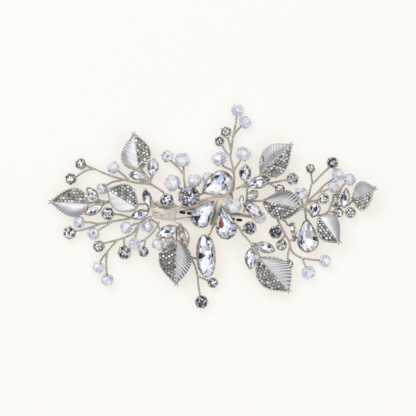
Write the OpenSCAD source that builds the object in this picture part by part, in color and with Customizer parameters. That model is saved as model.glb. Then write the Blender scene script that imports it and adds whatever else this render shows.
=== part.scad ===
// Bridal hair clip: a spray of twisted wire stems with cast leaves, set stones and cut beads,
// bound on a slotted clip. It lies on its jaw: X runs along the spray, Y across it, Z up.

/* [Clip] */
// Length of the slotted plate
plate_len = 45.5; // [44:0.5:46]
// Width of the slotted plate
plate_w = 7; // [7:0.5:8.5]
// Thickness of the plate and of the jaw
sheet_t = 0.9; // [0.7:0.1:1]
// Height of the plate's top face
plate_top = 4.5; // [4.3:0.1:4.6]
// Turn of the clip under the spray, in degrees
clip_turn = -7.5; // [-9:0.5:-6]

/* [Stems] */
// Diameter of a twisted stem
stem_d = 0.8; // [0.6:0.1:0.8]
// Diameter of a branch
branch_d = 0.7; // [0.55:0.05:0.7]
// Height of the stems at the rim of the spray
rim_z = 3.2; // [3.1:0.1:3.4]
// Height that the stems gain over the clip
arch_h = 4.3; // [4.2:0.1:4.5]

/* [Settings] */
// Thickness of a setting's wall
wall = 0.35; // [0.3:0.05:0.4]
// Gap between a stone and its setting
seat_gap = 0.1; // [0.1:0.01:0.12]
// Width of a claw
claw_w = 0.6; // [0.5:0.1:0.7]

/* [Leaves] */
// Thickness of a cast leaf
leaf_t = 0.9; // [0.8:0.1:1]
// Number of ribs on a leaf
ribs = 9; // [8:1:10]
// Height of a rib at the leaf's edge
rib_h = 0.3; // [0.2:0.05:0.35]

/* [Hidden] */
// Bore of a bead, and the plan reach of the spray's arch
bore_d = 1.1;
reach_x = 36;
reach_y = 24;
stem_sides = 5;

NAVETTES = [
    // x, y, lift, length, width, turn, pitch, roll
    [-29.7, 18.2, 2.6, 8.8, 4.3, -8, 0, 0],
    [-22.9, 21.9, 2.2, 8.3, 4.9, 82, 0, 0],
    [-25.5, 8.0, 2.6, 9.2, 3.9, 106, 0, 0],
    [-28.8, 0.6, 2.8, 9.0, 4.3, 17, 0, 0],
    [-49.7, 2.8, 1.6, 9.4, 4.3, 27, 0, 0],
    [-50.2, 9.8, 1.6, 8.0, 4.3, -50, 0, 0],
    [-16.7, -7.0, 3.2, 10.8, 5.2, 25, 0, 0],
    [-9.0, -8.8, 4.4, 10.0, 4.5, -69, 0, 0],
    [18.5, 19.4, 1.6, 8.2, 5.2, 88, 0, 0],
    [24.8, 15.2, 3.3, 10.6, 5.5, 17, 0, 0],
    [21.6, 9.2, 2.8, 6.8, 4.4, 35, 0, 0],
    [21.8, 3.1, 3.4, 10.6, 4.8, -35, 0, 0],
    [27.7, -14.1, 1.6, 9.2, 4.8, -20, 0, 0],
    [21.1, -19.1, 1.2, 10.2, 5.3, 85, 0, 0],
    [63.5, 8.1, 3.2, 9.4, 4.0, 82, 0, 0],
    [49.8, 2.9, 2.8, 7.6, 5.0, 72, 0, 0],
    [40.8, -6.6, 1.2, 7.4, 4.0, -80, 0, -85],
    [60.2, 7.0, 3.2, 7.0, 3.8, 82, 0, 85],
];

ROUNDS = [
    // x, y, lift, outer diameter, tilt, direction that it tilts to
    [-55.8, 23.9, 1.0, 4.6, 35, 120],
    [-60.6, 16.5, 1.0, 4.8, 45, 200],
    [-43.3, 1.0, 1.0, 5.8, 0, 0],
    [-60.7, -7.6, 1.0, 5.6, 8, 200],
    [-47.5, -13.7, 1.0, 5.0, 10, 200],
    [-35.8, -16.5, 1.0, 6.0, 0, 0],
    [-27.2, -16.1, 1.0, 4.6, 0, 0],
    [-16.7, 7.1, 3.6, 6.0, 0, 0],
    [4.1, -30.1, 1.0, 4.6, 8, 0],
    [-1.1, -38.7, 1.0, 5.8, 0, 0],
    [20.7, -5.5, 1.2, 5.8, 0, 0],
    [32.2, -7.3, 1.0, 5.8, 0, 0],
    [34.9, -13.1, 1.0, 4.8, 0, 0],
    [38.5, -21.8, 1.0, 4.0, 30, 0],
    [9.8, 37.9, 1.0, 5.0, 10, 120],
    [7.0, 33.5, 1.0, 4.4, 0, 0],
    [39.8, 16.7, 1.0, 5.4, 0, 0],
    [34.2, 12.6, 1.0, 4.2, 40, 80],
    [57.9, 24.0, 1.0, 5.2, 0, 0],
    [48.0, 21.6, 1.0, 4.0, 25, 90],
    [53.9, 7.9, 1.2, 5.0, 0, 0],
    [60.7, 1.4, 1.2, 4.4, 20, 300],
    [66.0, 1.6, 1.2, 4.9, 0, 0],
];

BEADS = [
    // x, y, lift, diameter, heading of the stem that enters it
    [-40.9, 21.9, 0, 5.6, 144],
    [-45.8, 12.4, 0, 5.4, 216],
    [-56.3, -2.7, 0, 5.4, 178],
    [-49.8, -8.0, 0, 5.6, 215],
    [-35.1, -5.2, 0, 5.6, 200],
    [-25.5, -4.8, -1.6, 5.6, 250],
    [-31.4, -12.6, 0, 5.4, 261],
    [-47.6, -23.1, 0, 5.4, 250],
    [-43.6, -28.8, 0, 5.6, 276],
    [-20.7, -12.8, -0.6, 5.6, 247],
    [-15.4, -10.8, -1.2, 4.6, 265],
    [-16.6, 26.9, 0, 5.6, 131],
    [-9.8, 25.2, 0.4, 6.8, 99],
    [-14.2, 14.9, 0, 7.4, 145],
    [-4.3, 16.0, -1.2, 6.2, 93],
    [1.9, 17.0, -1.2, 5.8, 85],
    [6.9, 25.7, 0.4, 6.8, 121],
    [17.8, 27.9, 0.4, 6.8, 63],
    [15.1, 47.6, 0, 5.8, 82],
    [18.5, 42.2, 0, 5.6, 45],
    [13.3, 4.5, 2.0, 7.0, 280],
    [25.2, -0.9, -1.5, 5.6, 300],
    [43.7, 10.1, 0.2, 6.0, 97],
    [60.3, 18.6, 0, 5.8, 40],
    [65.6, 16.5, 0, 5.6, 44],
    [58.5, 13.1, 0, 5.6, 22],
    [54.5, -20.3, 0, 5.6, -6],
    [47.1, -25.5, 0, 6.2, -65],
];

PEARS = [
    // x and y of the round end's centre, lift, its radius, length to the point, turn, pitch, roll
    [7.6, 14.9, 4.8, 5.5, 10.0, 25, 0, 0],
    [-1.3, -0.7, 2.3, 4.5, 9.9, -128, 0, 0],
    [10.0, -5.8, 4.2, 4.6, 11.7, -78, 0, 0],
    [46.8, -11.5, 2.6, 4.8, 11.0, -86, 0, 0],
];

LEAVES = [
    // x and y of the base, lift, heading, length, width of ribbed half, width of set half, pitch, roll,
    // fullness of the ribbed half and of the set half
    [-29.3, 20.9, 1.2, 98, 16.2, 7.0, 6.3, 10, 0, 1, 1.2],
    [-52.3, 5.5, 1.2, 177, 16.8, 6.0, 6.7, 7, 0, 1, 1],
    [-30.1, 3.5, 1.6, 148, 15.8, 5.4, 6.9, 9, 0, 1.4, 1.5],
    [-12.2, -11.0, 1.5, 269, 19.6, 6.6, 7.9, 2, 0, 1.2, 1.2],
    [25.5, 19.7, 1.2, 42, 18.7, 6.3, 7.0, 12, 0, 1.4, 1],
    [26.6, 6.8, 1.4, -11, 17.6, 6.5, 7.0, 8, 0, 1.8, 1.35],
    [24.8, -18.9, 1.6, -48, 20.0, 7.7, 7.2, 2, 0, 1.5, 1.25],
    [52.0, -0.5, 1.4, -53, 14.8, 5.8, 5.5, 22, 0, 1, 1.5],
    [66.8, 7.4, 1.2, 26, 13.2, 5.6, 6.5, 38, 0, 2.1, 0.75],
];

// Oval stone below the clip, and the round stone above it: x, y, lift, length, width, turn
OVAL = [0.9, -18.0, 2.6, 19.2, 8.6, -87];
CENTRE_ROUND = [-6.7, 8.6, 4.4, 9.8];

// Stems: each route is a list of x, y and lift, and a branch starts on its own stem
TOP_MAIN = [[9.5, 4.3, -1.2], [10.6, 7.0, -0.6], [12.9, 11.2, 0], [13.6, 15.0, 0], [13.4, 20.6, 0],
    [11.9, 26.6, 0], [12.3, 29.7, 0], [13.1, 35.5, 0], [14.3, 41.6, 0]];
TOP_BRANCHES = [
    [[11.9, 26.6, 0], [9.6, 29.3, 0], [8.4, 31.4, 0]],
    [[12.2, 29.2, 0], [11.5, 32.6, 0], [10.7, 35.1, 0]],
];
UPPER_LEFT_MAIN = [[-17.0, 7.7, 0], [-18.3, 10.6, 0], [-21.6, 12.9, 0], [-24.3, 14.3, 0],
    [-30.2, 14.9, 0], [-36.1, 16.4, 0], [-42.5, 18.3, 0], [-50.1, 21.5, 0], [-52.8, 22.5, 0]];
UPPER_LEFT_BRANCHES = [
    [[-49.4, 21.2, 0], [-52.2, 20.8, 0], [-54.5, 19.8, 0], [-56.7, 18.3, 0], [-58.0, 17.1, 0]],
    [[-24.3, 14.3, 0], [-24.7, 16.4, 0], [-27.0, 19.4, 0], [-29.4, 22.6, 0]],
];
LEFT_MAIN = [[-24.9, 2.9, 0], [-28.6, 0.3, 0], [-33.0, -1.0, 0], [-41.4, -2.5, 0],
    [-47.3, -3.5, 0], [-51.0, -2.9, 0]];
LEFT_BRANCHES = [
    [[-45.6, -3.2, 0], [-49.0, -4.4, 0], [-52.2, -5.4, 0], [-54.9, -6.3, 0], [-57.5, -6.7, 0]],
    [[-32.6, -0.9, 0], [-36.9, 0.4, 0], [-40.1, 0.9, 0]],
    [[-25.6, 5.6, 0], [-31.0, 5.2, 0], [-38.0, 5.6, 0], [-44.0, 6.2, -0.3], [-47.5, 6.3, -0.9],
        [-54.0, 5.5, -0.6]],
    [[-25.6, 5.6, 0], [-24.9, 2.9, 0]],
    [[-43.4, 6.2, -0.3], [-44.8, 5.6, -0.3]],
    [[-45.6, 6.3, -0.6], [-46.7, 7.0, 0]],
];
LOWER_LEFT_MAIN = [[-23.0, 0.1, 0], [-26.0, -1.2, 0], [-28.9, -3.2, 0], [-32.2, -8.0, 0],
    [-34.4, -9.1, 0], [-36.2, -9.9, 0], [-39.3, -10.9, 0], [-42.7, -11.7, 0], [-44.7, -12.3, 0]];
LOWER_LEFT_BRANCHES = [
    [[-38.9, -10.8, 0], [-41.9, -14.0, 0], [-43.7, -16.3, 0], [-45.6, -18.6, 0]],
    [[-43.7, -16.3, 0], [-44.1, -20.0, 0], [-44.0, -24.2, 0]],
    [[-36.1, -9.8, 0], [-35.9, -13.1, 0]],
    [[-28.8, -3.1, 0], [-29.8, -5.6, 0], [-30.7, -8.6, 0]],
    [[-28.9, -3.2, 0], [-31.2, -3.6, 0]],
];
NEAR_LEFT_MAIN = [[-20.3, -2.9, 0], [-20.9, -4.3, 0], [-23.1, -7.5, 0], [-26.1, -10.4, 0],
    [-26.6, -12.2, 0], [-26.9, -13.5, 0]];
NEAR_LEFT_BRANCHES = [
    [[-26.1, -10.4, 0], [-28.4, -11.5, 0]],
    [[-20.9, -4.3, 0], [-19.3, -7.0, 0], [-19.0, -9.0, -0.4]],
];
BOTTOM_MAIN = [[-10.4, -3.6, 0], [-8.8, -9.0, 0], [-8.0, -14.0, 0], [-6.6, -18.2, 0],
    [-5.0, -20.3, 0], [-3.8, -23.4, 0], [-2.9, -27.0, 0], [-2.5, -31.5, 0], [-1.8, -35.6, 0]];
BOTTOM_BRANCHES = [
    [[-2.8, -27.2, 0], [-0.5, -28.1, 0], [1.7, -29.0, 0]],
    [[-6.4, -18.5, 0], [-4.6, -18.9, 0], [-3.7, -19.0, 0]],
    [[-10.4, -3.6, 0], [-12.2, -6.0, 0], [-12.3, -9.0, 0], [-12.2, -13.0, 0]],
];
OVAL_STEM = [[5.0, -3.2, -0.4], [3.9, -5.2, 0], [2.6, -8.2, 0]];
LOWER_MIDDLE_MAIN = [[12.4, -2.6, -0.4], [15.3, -4.8, 0], [17.2, -7.8, 0], [18.9, -9.6, 0],
    [20.9, -11.9, 0], [22.4, -13.4, 0], [24.2, -16.4, 0], [25.9, -20.2, 0]];
LOWER_MIDDLE_BRANCHES = [
    [[16.3, -6.6, 0], [17.6, -6.5, 0]],
    [[21.0, -12.0, 0], [23.0, -12.6, 0]],
    [[21.4, -12.5, 0], [21.6, -13.3, 0]],
];
RIGHT_MAIN = [[14.6, 12.2, 0], [17.6, 13.6, 0], [19.2, 12.8, 0], [19.4, 10.0, 0],
    [19.3, 7.6, 0], [20.6, 6.7, 0], [24.0, 6.7, 0], [26.6, 6.8, 0], [29.0, 6.2, 0]];
RIGHT_BRANCHES = [
    [[17.6, 13.6, 0], [18.4, 14.6, 0]],
    [[19.0, 13.0, 0], [24.0, 13.5, 0], [29.4, 14.7, 0], [33.0, 15.4, 0], [36.8, 16.2, 0]],
    [[29.4, 14.7, 0], [31.0, 13.8, 0], [31.9, 13.0, 0]],
    [[24.0, 13.5, 0], [24.4, 17.0, 0], [26.4, 20.9, 0]],
    [[19.3, 7.6, 0], [18.4, 3.6, 0], [17.8, 1.9, -0.2]],
];
LOWER_RIGHT_MAIN = [[33.2, 4.2, 0], [33.1, -1.5, 0], [34.3, -3.8, 0], [35.8, -6.6, 0],
    [36.8, -8.8, 0], [38.3, -11.2, 0], [38.9, -14.0, 0], [40.0, -16.4, 0], [43.2, -18.6, 0],
    [45.9, -19.3, 0], [49.5, -19.8, 0]];
LOWER_RIGHT_BRANCHES = [
    [[34.1, -3.5, 0], [33.5, -4.1, 0]],
    [[36.6, -8.6, 0], [35.7, -9.7, 0], [35.3, -10.5, 0]],
    [[38.8, -13.6, 0], [37.9, -17.0, 0], [37.7, -19.0, 0]],
    [[33.2, -0.4, 0], [36.6, -2.4, 0], [38.0, -4.2, 0]],
    [[38.0, -10.7, 0], [39.6, -11.0, 0], [40.9, -11.2, 0]],
];
RIGHT_UPPER_MAIN = [[30.4, 6.0, 0], [36.0, 4.6, 0], [42.0, 3.9, 0], [45.4, 4.6, 0],
    [48.2, 7.9, 0], [51.6, 11.0, 0], [54.5, 14.1, 0]];
RIGHT_UPPER_BRANCHES = [
    [[45.4, 4.6, 0], [46.6, 7.2, 0], [47.5, 10.4, 0], [48.2, 13.2, 0], [48.7, 15.4, 0],
        [48.3, 18.8, 0]],
    [[48.3, 13.8, 0], [52.2, 17.8, 0], [56.0, 21.5, 0]],
    [[45.8, 5.1, 0], [48.6, 6.6, 0], [50.8, 7.1, 0]],
    [[45.2, 4.5, 0], [47.8, 1.4, 0], [52.6, 0.2, 0], [55.9, 2.0, 0], [57.2, 5.0, 0],
        [58.1, 7.4, 0], [58.4, 9.6, 0]],
    [[57.9, 6.9, 0], [60.1, 8.6, 0], [62.0, 12.4, 0]],
    [[55.9, 2.0, 0], [57.9, 1.8, 0]],
    [[57.0, 4.5, 0], [61.0, 4.6, 0], [65.0, 5.0, 0], [67.8, 8.2, 0]],
    [[45.2, 4.5, 0], [45.6, 1.8, 0], [45.9, 0.1, 0]],
];
CENTRE_UP_MAIN = [[-8.1, 5.7, -0.6], [-8.4, 12.0, -0.6], [-9.0, 16.8, 0], [-9.2, 20.2, 0]];
CENTRE_UP_BRANCHES = [
    [[-9.1, 18.6, 0], [-11.7, 21.8, 0], [-13.8, 23.8, 0]],
    [[-8.3, 10.0, -0.6], [-9.2, 11.5, 0]],
];

NAVETTE_NAMES = [for (i = [0:len(NAVETTES) - 1]) str("navette_stone_", i + 1)];
LEAF_NAMES = [for (i = [0:len(LEAVES) - 1]) str("leaf_", i + 1)];

silver = "silver";
wire_tone = "tan";
glass = "aliceblue";
bead_tone = "lavender";

// Points and directions

function unit(v) = v / norm(v);

// Height of the stems: an arch over the clip that falls to the rim of the spray
function arch(x, y) = rim_z + arch_h * exp(-(pow(x / reach_x, 2) + pow(y / reach_y, 2)));
function lifted(q) = [q[0], q[1], arch(q[0], q[1]) + q[2]];
function bead_centre(b) = lifted(b);
function bead_heading(b) = [cos(b[4]), sin(b[4]), 0];

// A stem's last two points: just outside a bead's bore, and inside it past the middle
function into_bead(b) = [
    bead_centre(b) - bead_heading(b) * (b[3] / 2 + 0.5),
    bead_centre(b) + bead_heading(b) * b[3] * 0.25];

// A closed skin over rings that have the same number of points
module skin(rings) {
    n = len(rings[0]);
    last = (len(rings) - 1) * n;
    points = [for (r = rings) for (p = r) p];
    sides = [for (i = [0:len(rings) - 2], j = [0:n - 1], k = [0, 1])
        let (a = i * n + j, b = i * n + (j + 1) % n)
        k == 0 ? [a, b + n, b] : [a, a + n, b + n]];
    start_cap = [for (j = [1:n - 2]) [0, j, j + 1]];
    end_cap = [for (j = [1:n - 2]) [last, last + j + 1, last + j]];
    polyhedron(points = points, faces = concat(start_cap, sides, end_cap));
}

// A ring round point p of a stem that runs along d
function stem_ring(p, d, r) =
    let (side = unit([-d[1], d[0], 0]), up = cross(unit(d), side))
    [for (k = [0:stem_sides - 1])
        let (a = k * 360 / stem_sides)
        p + r * (cos(a) * side + sin(a) * up)];

function route_direction(pts, i) =
    i == 0 ? unit(pts[1] - pts[0]) :
    i == len(pts) - 1 ? unit(pts[i] - pts[i - 1]) :
    unit(unit(pts[i] - pts[i - 1]) + unit(pts[i + 1] - pts[i]));

// A wire through points in space: mitred stretches that run a little into each other
module wire(pts, d) {
    overlap = 0.04;
    for (i = [0:len(pts) - 2]) {
        along = overlap * unit(pts[i + 1] - pts[i]);
        r = i % 2 == 0 ? d / 2 : 0.46 * d;
        hull() {
            skin([
                stem_ring(pts[i] - along, route_direction(pts, i), r),
                stem_ring(pts[i + 1] + along, route_direction(pts, i + 1), r)]);
        }
    }
}

module stem(route, d = stem_d) {
    wire([for (q = route) lifted(q)], d);
}

module branch(route) {
    stem(route, branch_d);
}

module bead_stem(route, b, d = stem_d) {
    wire(concat([for (q = route) lifted(q)], into_bead(b)), d);
}

module bead_branch(route, b) {
    bead_stem(route, b, branch_d);
}

// Outlines

// Boat shape of two arcs: half the points on each, from tip to tip
function navette_radius(l, w) = (l * l + w * w) / (4 * w);
function navette_side(l, w, x) = sqrt(pow(navette_radius(l, w), 2) - x * x) - navette_radius(l, w) + w / 2;
function navette_outline(l, w, n) = [for (i = [0:n - 1])
    let (t = i * 360 / n, x = l / 2 * cos(t))
    [x, (sin(t) >= 0 ? 1 : -1) * (abs(sin(t)) < 0.01 ? 0 : navette_side(l, w, x))]];

function oval_outline(l, w, n) = [for (i = [0:n - 1])
    let (t = i * 360 / n)
    [l / 2 * cos(t), w / 2 * pow(abs(sin(t)), 0.85) * (sin(t) >= 0 ? 1 : -1)]];

function round_outline(d, n) = [for (i = [0:n - 1])
    d / 2 * [cos(i * 360 / n), sin(i * 360 / n)]];

// Teardrop: an arc of radius r round the origin and two bulged sides to a blunt point at -X
function drop_outline(r, reach, n) =
    let (g = acos(r / reach), span = 2 * (180 - g))
    concat(
        [for (i = [0:n]) let (a = g - 180 + i * span / n) r * [cos(a), sin(a)]],
        [for (s = [1, -1]) each [for (f = s == 1 ? [0.55, 0.96] : [0.96, 0.55])
            let (t = r * [-cos(g), s * sin(g)], p = [-reach, 0], q = t + (p - t) * f)
            q + 0.05 * reach * [-cos(g), s * sin(g)] * (f < 0.9 ? 1 : 0.25)]]);

function scaled(outline, s) = [for (p = outline) p * s];
function at_height(outline, z) = [for (p = outline) [p[0], p[1], z]];

// A cut stone with a table, a crown and a pavilion: the origin is at the height of its girdle
module cut_stone(outline, width, depth) {
    hull() {
        skin([
            at_height(scaled(outline, 0.08), -depth),
            at_height(outline, 0),
            at_height(scaled(outline, 0.56), crown_height(width))]);
    }
}

function crown_height(width) = min(0.18 * width, 1.3);
function pavilion_depth(width) = min(0.42 * width, 2.6);

// Depth of a setting below the girdle, for a stone of that width
function setting_depth(width) = pavilion_depth(width) + seat_gap + wall;
function stone_size(outer) = outer - 2 * (wall + seat_gap);

// A claw at the wall's outer face, bent over the stone: X is outwards, the girdle is at 0
module claw(at, out) {
    foot = -0.9;
    bend = 0.3;
    tip_x = -wall - seat_gap - 0.25;
    profile = [
        [0.1 - wall, foot], [0.15, foot], [0.15, bend],
        [tip_x, 0.75], [tip_x - 0.15, 0.5], [0.1 - wall, 0.12]];
    translate([at[0], at[1], 0])
        rotate([90, 0, out])
            translate([0, 0, -claw_w / 2])
                linear_extrude(claw_w)
                    polygon(profile);
}

module stand(piece) {
    translate(lifted(piece))
        children();
}

// Places a navette or a teardrop: turn about Z, then pitch and roll about its own axes
module turned_piece(turn, pitch, roll) {
    rotate([0, 0, turn])
        rotate([0, -pitch, 0])
            rotate([roll, 0, 0])
                children();
}

// Tilts a round piece towards a direction
module tilted(tilt, towards) {
    rotate([0, 0, towards])
        rotate([0, tilt, 0])
            rotate([0, 0, -towards])
                children();
}

// Clip

module on_clip() {
    rotate([0, 0, clip_turn])
        children();
}

module rounded_bar(l, w, r) {
    square([l - 2 * r, w], center = true);
    square([l, w - 2 * r], center = true);
    for (x = [-1, 1], y = [-1, 1])
        translate([x * (l / 2 - r), y * (w / 2 - r)])
            circle(r, $fn = 32);
}

plate_x = -0.75;
slot_l = 2.8;
slot_w = 1.3;
slot_y = 0.3;
ridge_l = 26;

module slot() {
    square([slot_l - slot_w, slot_w], center = true);
    for (x = [-1, 1])
        translate([x * (slot_l - slot_w) / 2, 0])
            circle(d = slot_w, $fn = 32);
}

module clip_plate() {
    color(silver)
    on_clip() {
        translate([0, 0, plate_top - sheet_t])
            linear_extrude(sheet_t)
                difference() {
                    translate([plate_x, 0])
                        rounded_bar(plate_len, plate_w, 2.5);
                    for (x = [-9.8, -6.4, 12.6, 16.0])
                        translate([x, slot_y])
                            slot();
                }
        translate([-12.5, -plate_w / 2 + 0.9, plate_top - 0.1])
            cube([ridge_l, 0.8, 0.4]);
    }
}

jaw_w = 6.8;
riser_l = 3;

module clip_jaw() {
    color(silver)
    on_clip() {
        linear_extrude(sheet_t)
            rounded_bar(plate_len - 1, jaw_w, 2.5);
        translate([plate_len / 2 - 1.5 - riser_l, 1 - jaw_w / 2, sheet_t - 0.1])
            cube([riser_l, jaw_w - 2, plate_top - 2 * sheet_t]);
    }
}

bundle_d = 1.8;
bundle_y = 2.7;
bundle_x = -23;
bundle_l = 44.5;
clear = 0.15;

module core_bundle() {
    color(wire_tone)
    on_clip()
        translate([bundle_x, bundle_y, plate_top + clear + bundle_d / 2])
            rotate([0, 90, 0])
                cylinder(h = bundle_l, d = bundle_d, $fn = 48);
}

winding_t = 0.5;

// A band of wire round the plate and the bundle, from x0 to x1 along the clip
module winding(x0, x1) {
    y1 = plate_w / 2 + clear;
    z0 = plate_top - sheet_t - clear;
    z1 = plate_top + clear + bundle_d + clear;
    low = plate_top + clear + 0.3;
    step_y = bundle_y - bundle_d / 2 - 0.5;
    inside = [[-y1, z0], [y1, z0], [y1, z1], [step_y, z1], [-y1, low]];
    t = winding_t;
    outside = [[-y1 - t, z0 - t], [y1 + t, z0 - t], [y1 + t, z1 + t],
        [step_y - 0.2 * t, z1 + t], [-y1 - t, low + t]];
    color(wire_tone)
    on_clip()
        translate([x0, 0, 0])
            rotate([90, 0, 90])
                linear_extrude(x1 - x0)
                    difference() {
                        polygon(outside);
                        polygon(inside);
                    }
}

// Stems

module stem_top() {
    color(wire_tone) {
        bead_stem(TOP_MAIN, BEADS[18]);
        bead_branch([[13.3, 36.0, 0], [13.9, 37.3, 0], [15.6, 39.3, 0]], BEADS[19]);
        bead_branch([[13.6, 18.6, 0], [12.2, 20.8, 0]], BEADS[16]);
        bead_branch([[13.5, 19.8, 0], [14.4, 22.0, 0]], BEADS[17]);
        bead_branch([[12.0, 9.7, -0.2], [12.6, 9.9, 1.2]], BEADS[20]);
        for (route = TOP_BRANCHES) branch(route);
    }
}

module stem_centre_up() {
    color(wire_tone) {
        bead_stem(CENTRE_UP_MAIN, BEADS[12]);
        bead_branch(CENTRE_UP_BRANCHES[0], BEADS[11]);
        bead_branch(CENTRE_UP_BRANCHES[1], BEADS[13]);
        bead_branch([[-8.1, 6.4, -0.6], [-4.6, 9.0, -1.2]], BEADS[14]);
        bead_branch([[-5.6, 8.2, -1.1], [-2.0, 9.4, -1.3], [1.2, 11.5, -1.3]], BEADS[15]);
    }
}

module stem_upper_left() {
    color(wire_tone) {
        stem(UPPER_LEFT_MAIN);
        for (route = UPPER_LEFT_BRANCHES) branch(route);
        bead_branch([[-33.4, 15.7, 0], [-36.2, 18.4, 0]], BEADS[0]);
        bead_branch([[-35.4, 16.3, 0], [-40.6, 15.5, 0]], BEADS[1]);
    }
}

module stem_left() {
    color(wire_tone) {
        bead_stem(LEFT_MAIN, BEADS[2]);
        bead_branch([[-41.0, -2.4, 0], [-44.1, -4.3, 0]], BEADS[3]);
        for (route = LEFT_BRANCHES) branch(route);
    }
}

module stem_lower_left() {
    color(wire_tone) {
        stem(LOWER_LEFT_MAIN);
        bead_branch(LOWER_LEFT_BRANCHES[0], BEADS[7]);
        bead_branch(LOWER_LEFT_BRANCHES[1], BEADS[8]);
        branch(LOWER_LEFT_BRANCHES[2]);
        bead_branch(LOWER_LEFT_BRANCHES[3], BEADS[6]);
        bead_branch(LOWER_LEFT_BRANCHES[4], BEADS[4]);
    }
}

module stem_near_left() {
    color(wire_tone) {
        stem(NEAR_LEFT_MAIN);
        branch(NEAR_LEFT_BRANCHES[0]);
        bead_branch(NEAR_LEFT_BRANCHES[1], BEADS[9]);
        bead_branch([[-20.6, -3.6, 0], [-22.4, -2.4, -1]], BEADS[5]);
    }
}

module stem_bottom() {
    color(wire_tone) {
        stem(BOTTOM_MAIN);
        for (route = BOTTOM_BRANCHES) branch(route);
        bead_branch([[-12.2, -5.8, 0], [-14.6, -6.4, -0.8]], BEADS[10]);
        branch(OVAL_STEM);
    }
}

module stem_lower_middle() {
    color(wire_tone) {
        stem(LOWER_MIDDLE_MAIN);
        for (route = LOWER_MIDDLE_BRANCHES) branch(route);
    }
}

module stem_right() {
    color(wire_tone) {
        stem(RIGHT_MAIN);
        for (route = RIGHT_BRANCHES) branch(route);
        bead_branch([[19.3, 6.8, 0], [20.4, 4.6, 0]], BEADS[21]);
    }
}

module stem_lower_right() {
    color(wire_tone) {
        bead_stem(LOWER_RIGHT_MAIN, BEADS[26]);
        bead_branch([[44.2, -18.9, 0], [45.0, -20.8, 0]], BEADS[27]);
        for (route = LOWER_RIGHT_BRANCHES) branch(route);
    }
}

module stem_right_upper() {
    color(wire_tone) {
        bead_stem(RIGHT_UPPER_MAIN, BEADS[23]);
        bead_branch([[51.4, 10.8, 0], [53.6, 11.1, 0]], BEADS[25]);
        bead_branch([[61.6, 11.7, 0], [62.4, 13.4, 0]], BEADS[24]);
        bead_branch([[45.0, 4.5, 0], [44.4, 5.4, 0]], BEADS[22]);
        for (route = RIGHT_UPPER_BRANCHES) branch(route);
    }
}

// Leaves

leaf_steps = 2 * ribs;
base_half_w = 0.7;
tip_half_w = 0.35;
width_peak = 0.318;
rib_lean = 0.16;

// Half width of a leaf at share u of its length, as a share of the widest
function leaf_share(u) = pow(u, 0.6) * pow(1 - u, 1.2) / width_peak;
// The higher its fullness, the nearer to the tip a half is widest
function leaf_half(u, w, fullness) =
    max(w * leaf_share(pow(u, fullness)), base_half_w + (tip_half_w - base_half_w) * u);

// The midrib is the lowest line: both halves rise to their edges, and the tip bends down
function leaf_top(u, v, i) =
    let (rise = v > 0 ? 1.5 * v * v : 0.5 * v * v + 0.5 * abs(v), crest = i % 2 == 0 ? rib_h : 0)
    rise * sin(180 * min(0.999, u * 0.86 + 0.1)) - 1.2 * u * u
        + (v > 0 ? crest * v : 0) - (v < 0 && v > -0.95 ? 0.25 * min(1, -3 * v) : 0);

// Ribs leave the midrib and lean towards the tip
function leaf_point(row, i, v) =
    let (
        t = i / leaf_steps,
        u = t + rib_lean * sin(180 * t) * (abs(v) - 0.7),
        side = v > 0 ? 0 : 1)
    [u * row[4], v * leaf_half(t, row[5 + side], row[9 + side]), leaf_top(t, v, i)];

// A ring starts under the midrib and goes up over the ribbed half to the set half
function leaf_under(row, i, v) =
    leaf_point(row, i, v) - [0, 0, leaf_t + (i % 2 == 0 && v == 1 ? rib_h : 0)];
function leaf_ring(row, i) = concat(
    [for (v = [0, 1]) leaf_under(row, i, v)],
    [for (v = [1, 0.55, 0, -0.45, -0.85, -1]) leaf_point(row, i, v)],
    [leaf_under(row, i, -1)]);

module leaf(row) {
    color(silver)
    stand(row)
        turned_piece(row[3], row[7], row[8])
            skin([for (i = [0:leaf_steps]) leaf_ring(row, i)]);
}

// Stones and settings

stone_n = 10;
drop_n = 9;

module navette_place(row) {
    stand(row)
        turned_piece(row[5], row[6], row[7])
            children();
}

// Length of the stone in a navette setting of that outer length and width
function navette_stone_length(l, w) =
    let (outer = navette_radius(l, w), r = outer - wall - seat_gap, c = outer - w / 2)
    2 * sqrt(r * r - c * c);

module navette_stone(row) {
    l = navette_stone_length(row[3], row[4]);
    w = stone_size(row[4]);
    color(glass)
    navette_place(row)
        cut_stone(navette_outline(l, w, stone_n), w, pavilion_depth(w));
}

// Two arcs that meet, as a solid from z0 to z1
module boat(l, w, inset, z0, z1) {
    r = navette_radius(l, w);
    intersection() {
        translate([0, w / 2 - r, z0])
            cylinder(r = r - inset, h = z1 - z0, $fn = 96);
        translate([0, r - w / 2, z0])
            cylinder(r = r - inset, h = z1 - z0, $fn = 96);
    }
}

module navette_setting(row) {
    l = row[3];
    w = row[4];
    depth = setting_depth(stone_size(w));
    tip = navette_stone_length(l, w) / 2 + seat_gap + 0.25;
    navette_place(row) {
        difference() {
            boat(l, w, 0, -depth, -0.05);
            boat(l, w, wall, wall - depth, 1);
        }
        for (s = [1, -1])
            claw([s * tip, 0], 90 - s * 90);
        claw([0, w / 2], 90);
        claw([0, -w / 2], 270);
    }
}

module navette_settings() {
    color(silver)
    for (row = NAVETTES) navette_setting(row);
}

module cup_place(row) {
    stand(row)
        tilted(row[4], row[5])
            children();
}

module cup_settings() {
    color(silver)
    for (row = ROUNDS)
        cup_place(row)
            cup(row[3]);
}

module cup(d) {
    depth = setting_depth(stone_size(d));
    difference() {
        translate([0, 0, -depth])
            cylinder(d = d, h = depth - 0.05, $fn = 64);
        translate([0, 0, wall - depth])
            cylinder(d = d - 2 * wall, h = depth + 1, $fn = 64);
    }
    for (a = [45:90:315])
        claw([d / 2 * cos(a), d / 2 * sin(a)], a);
}

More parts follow.
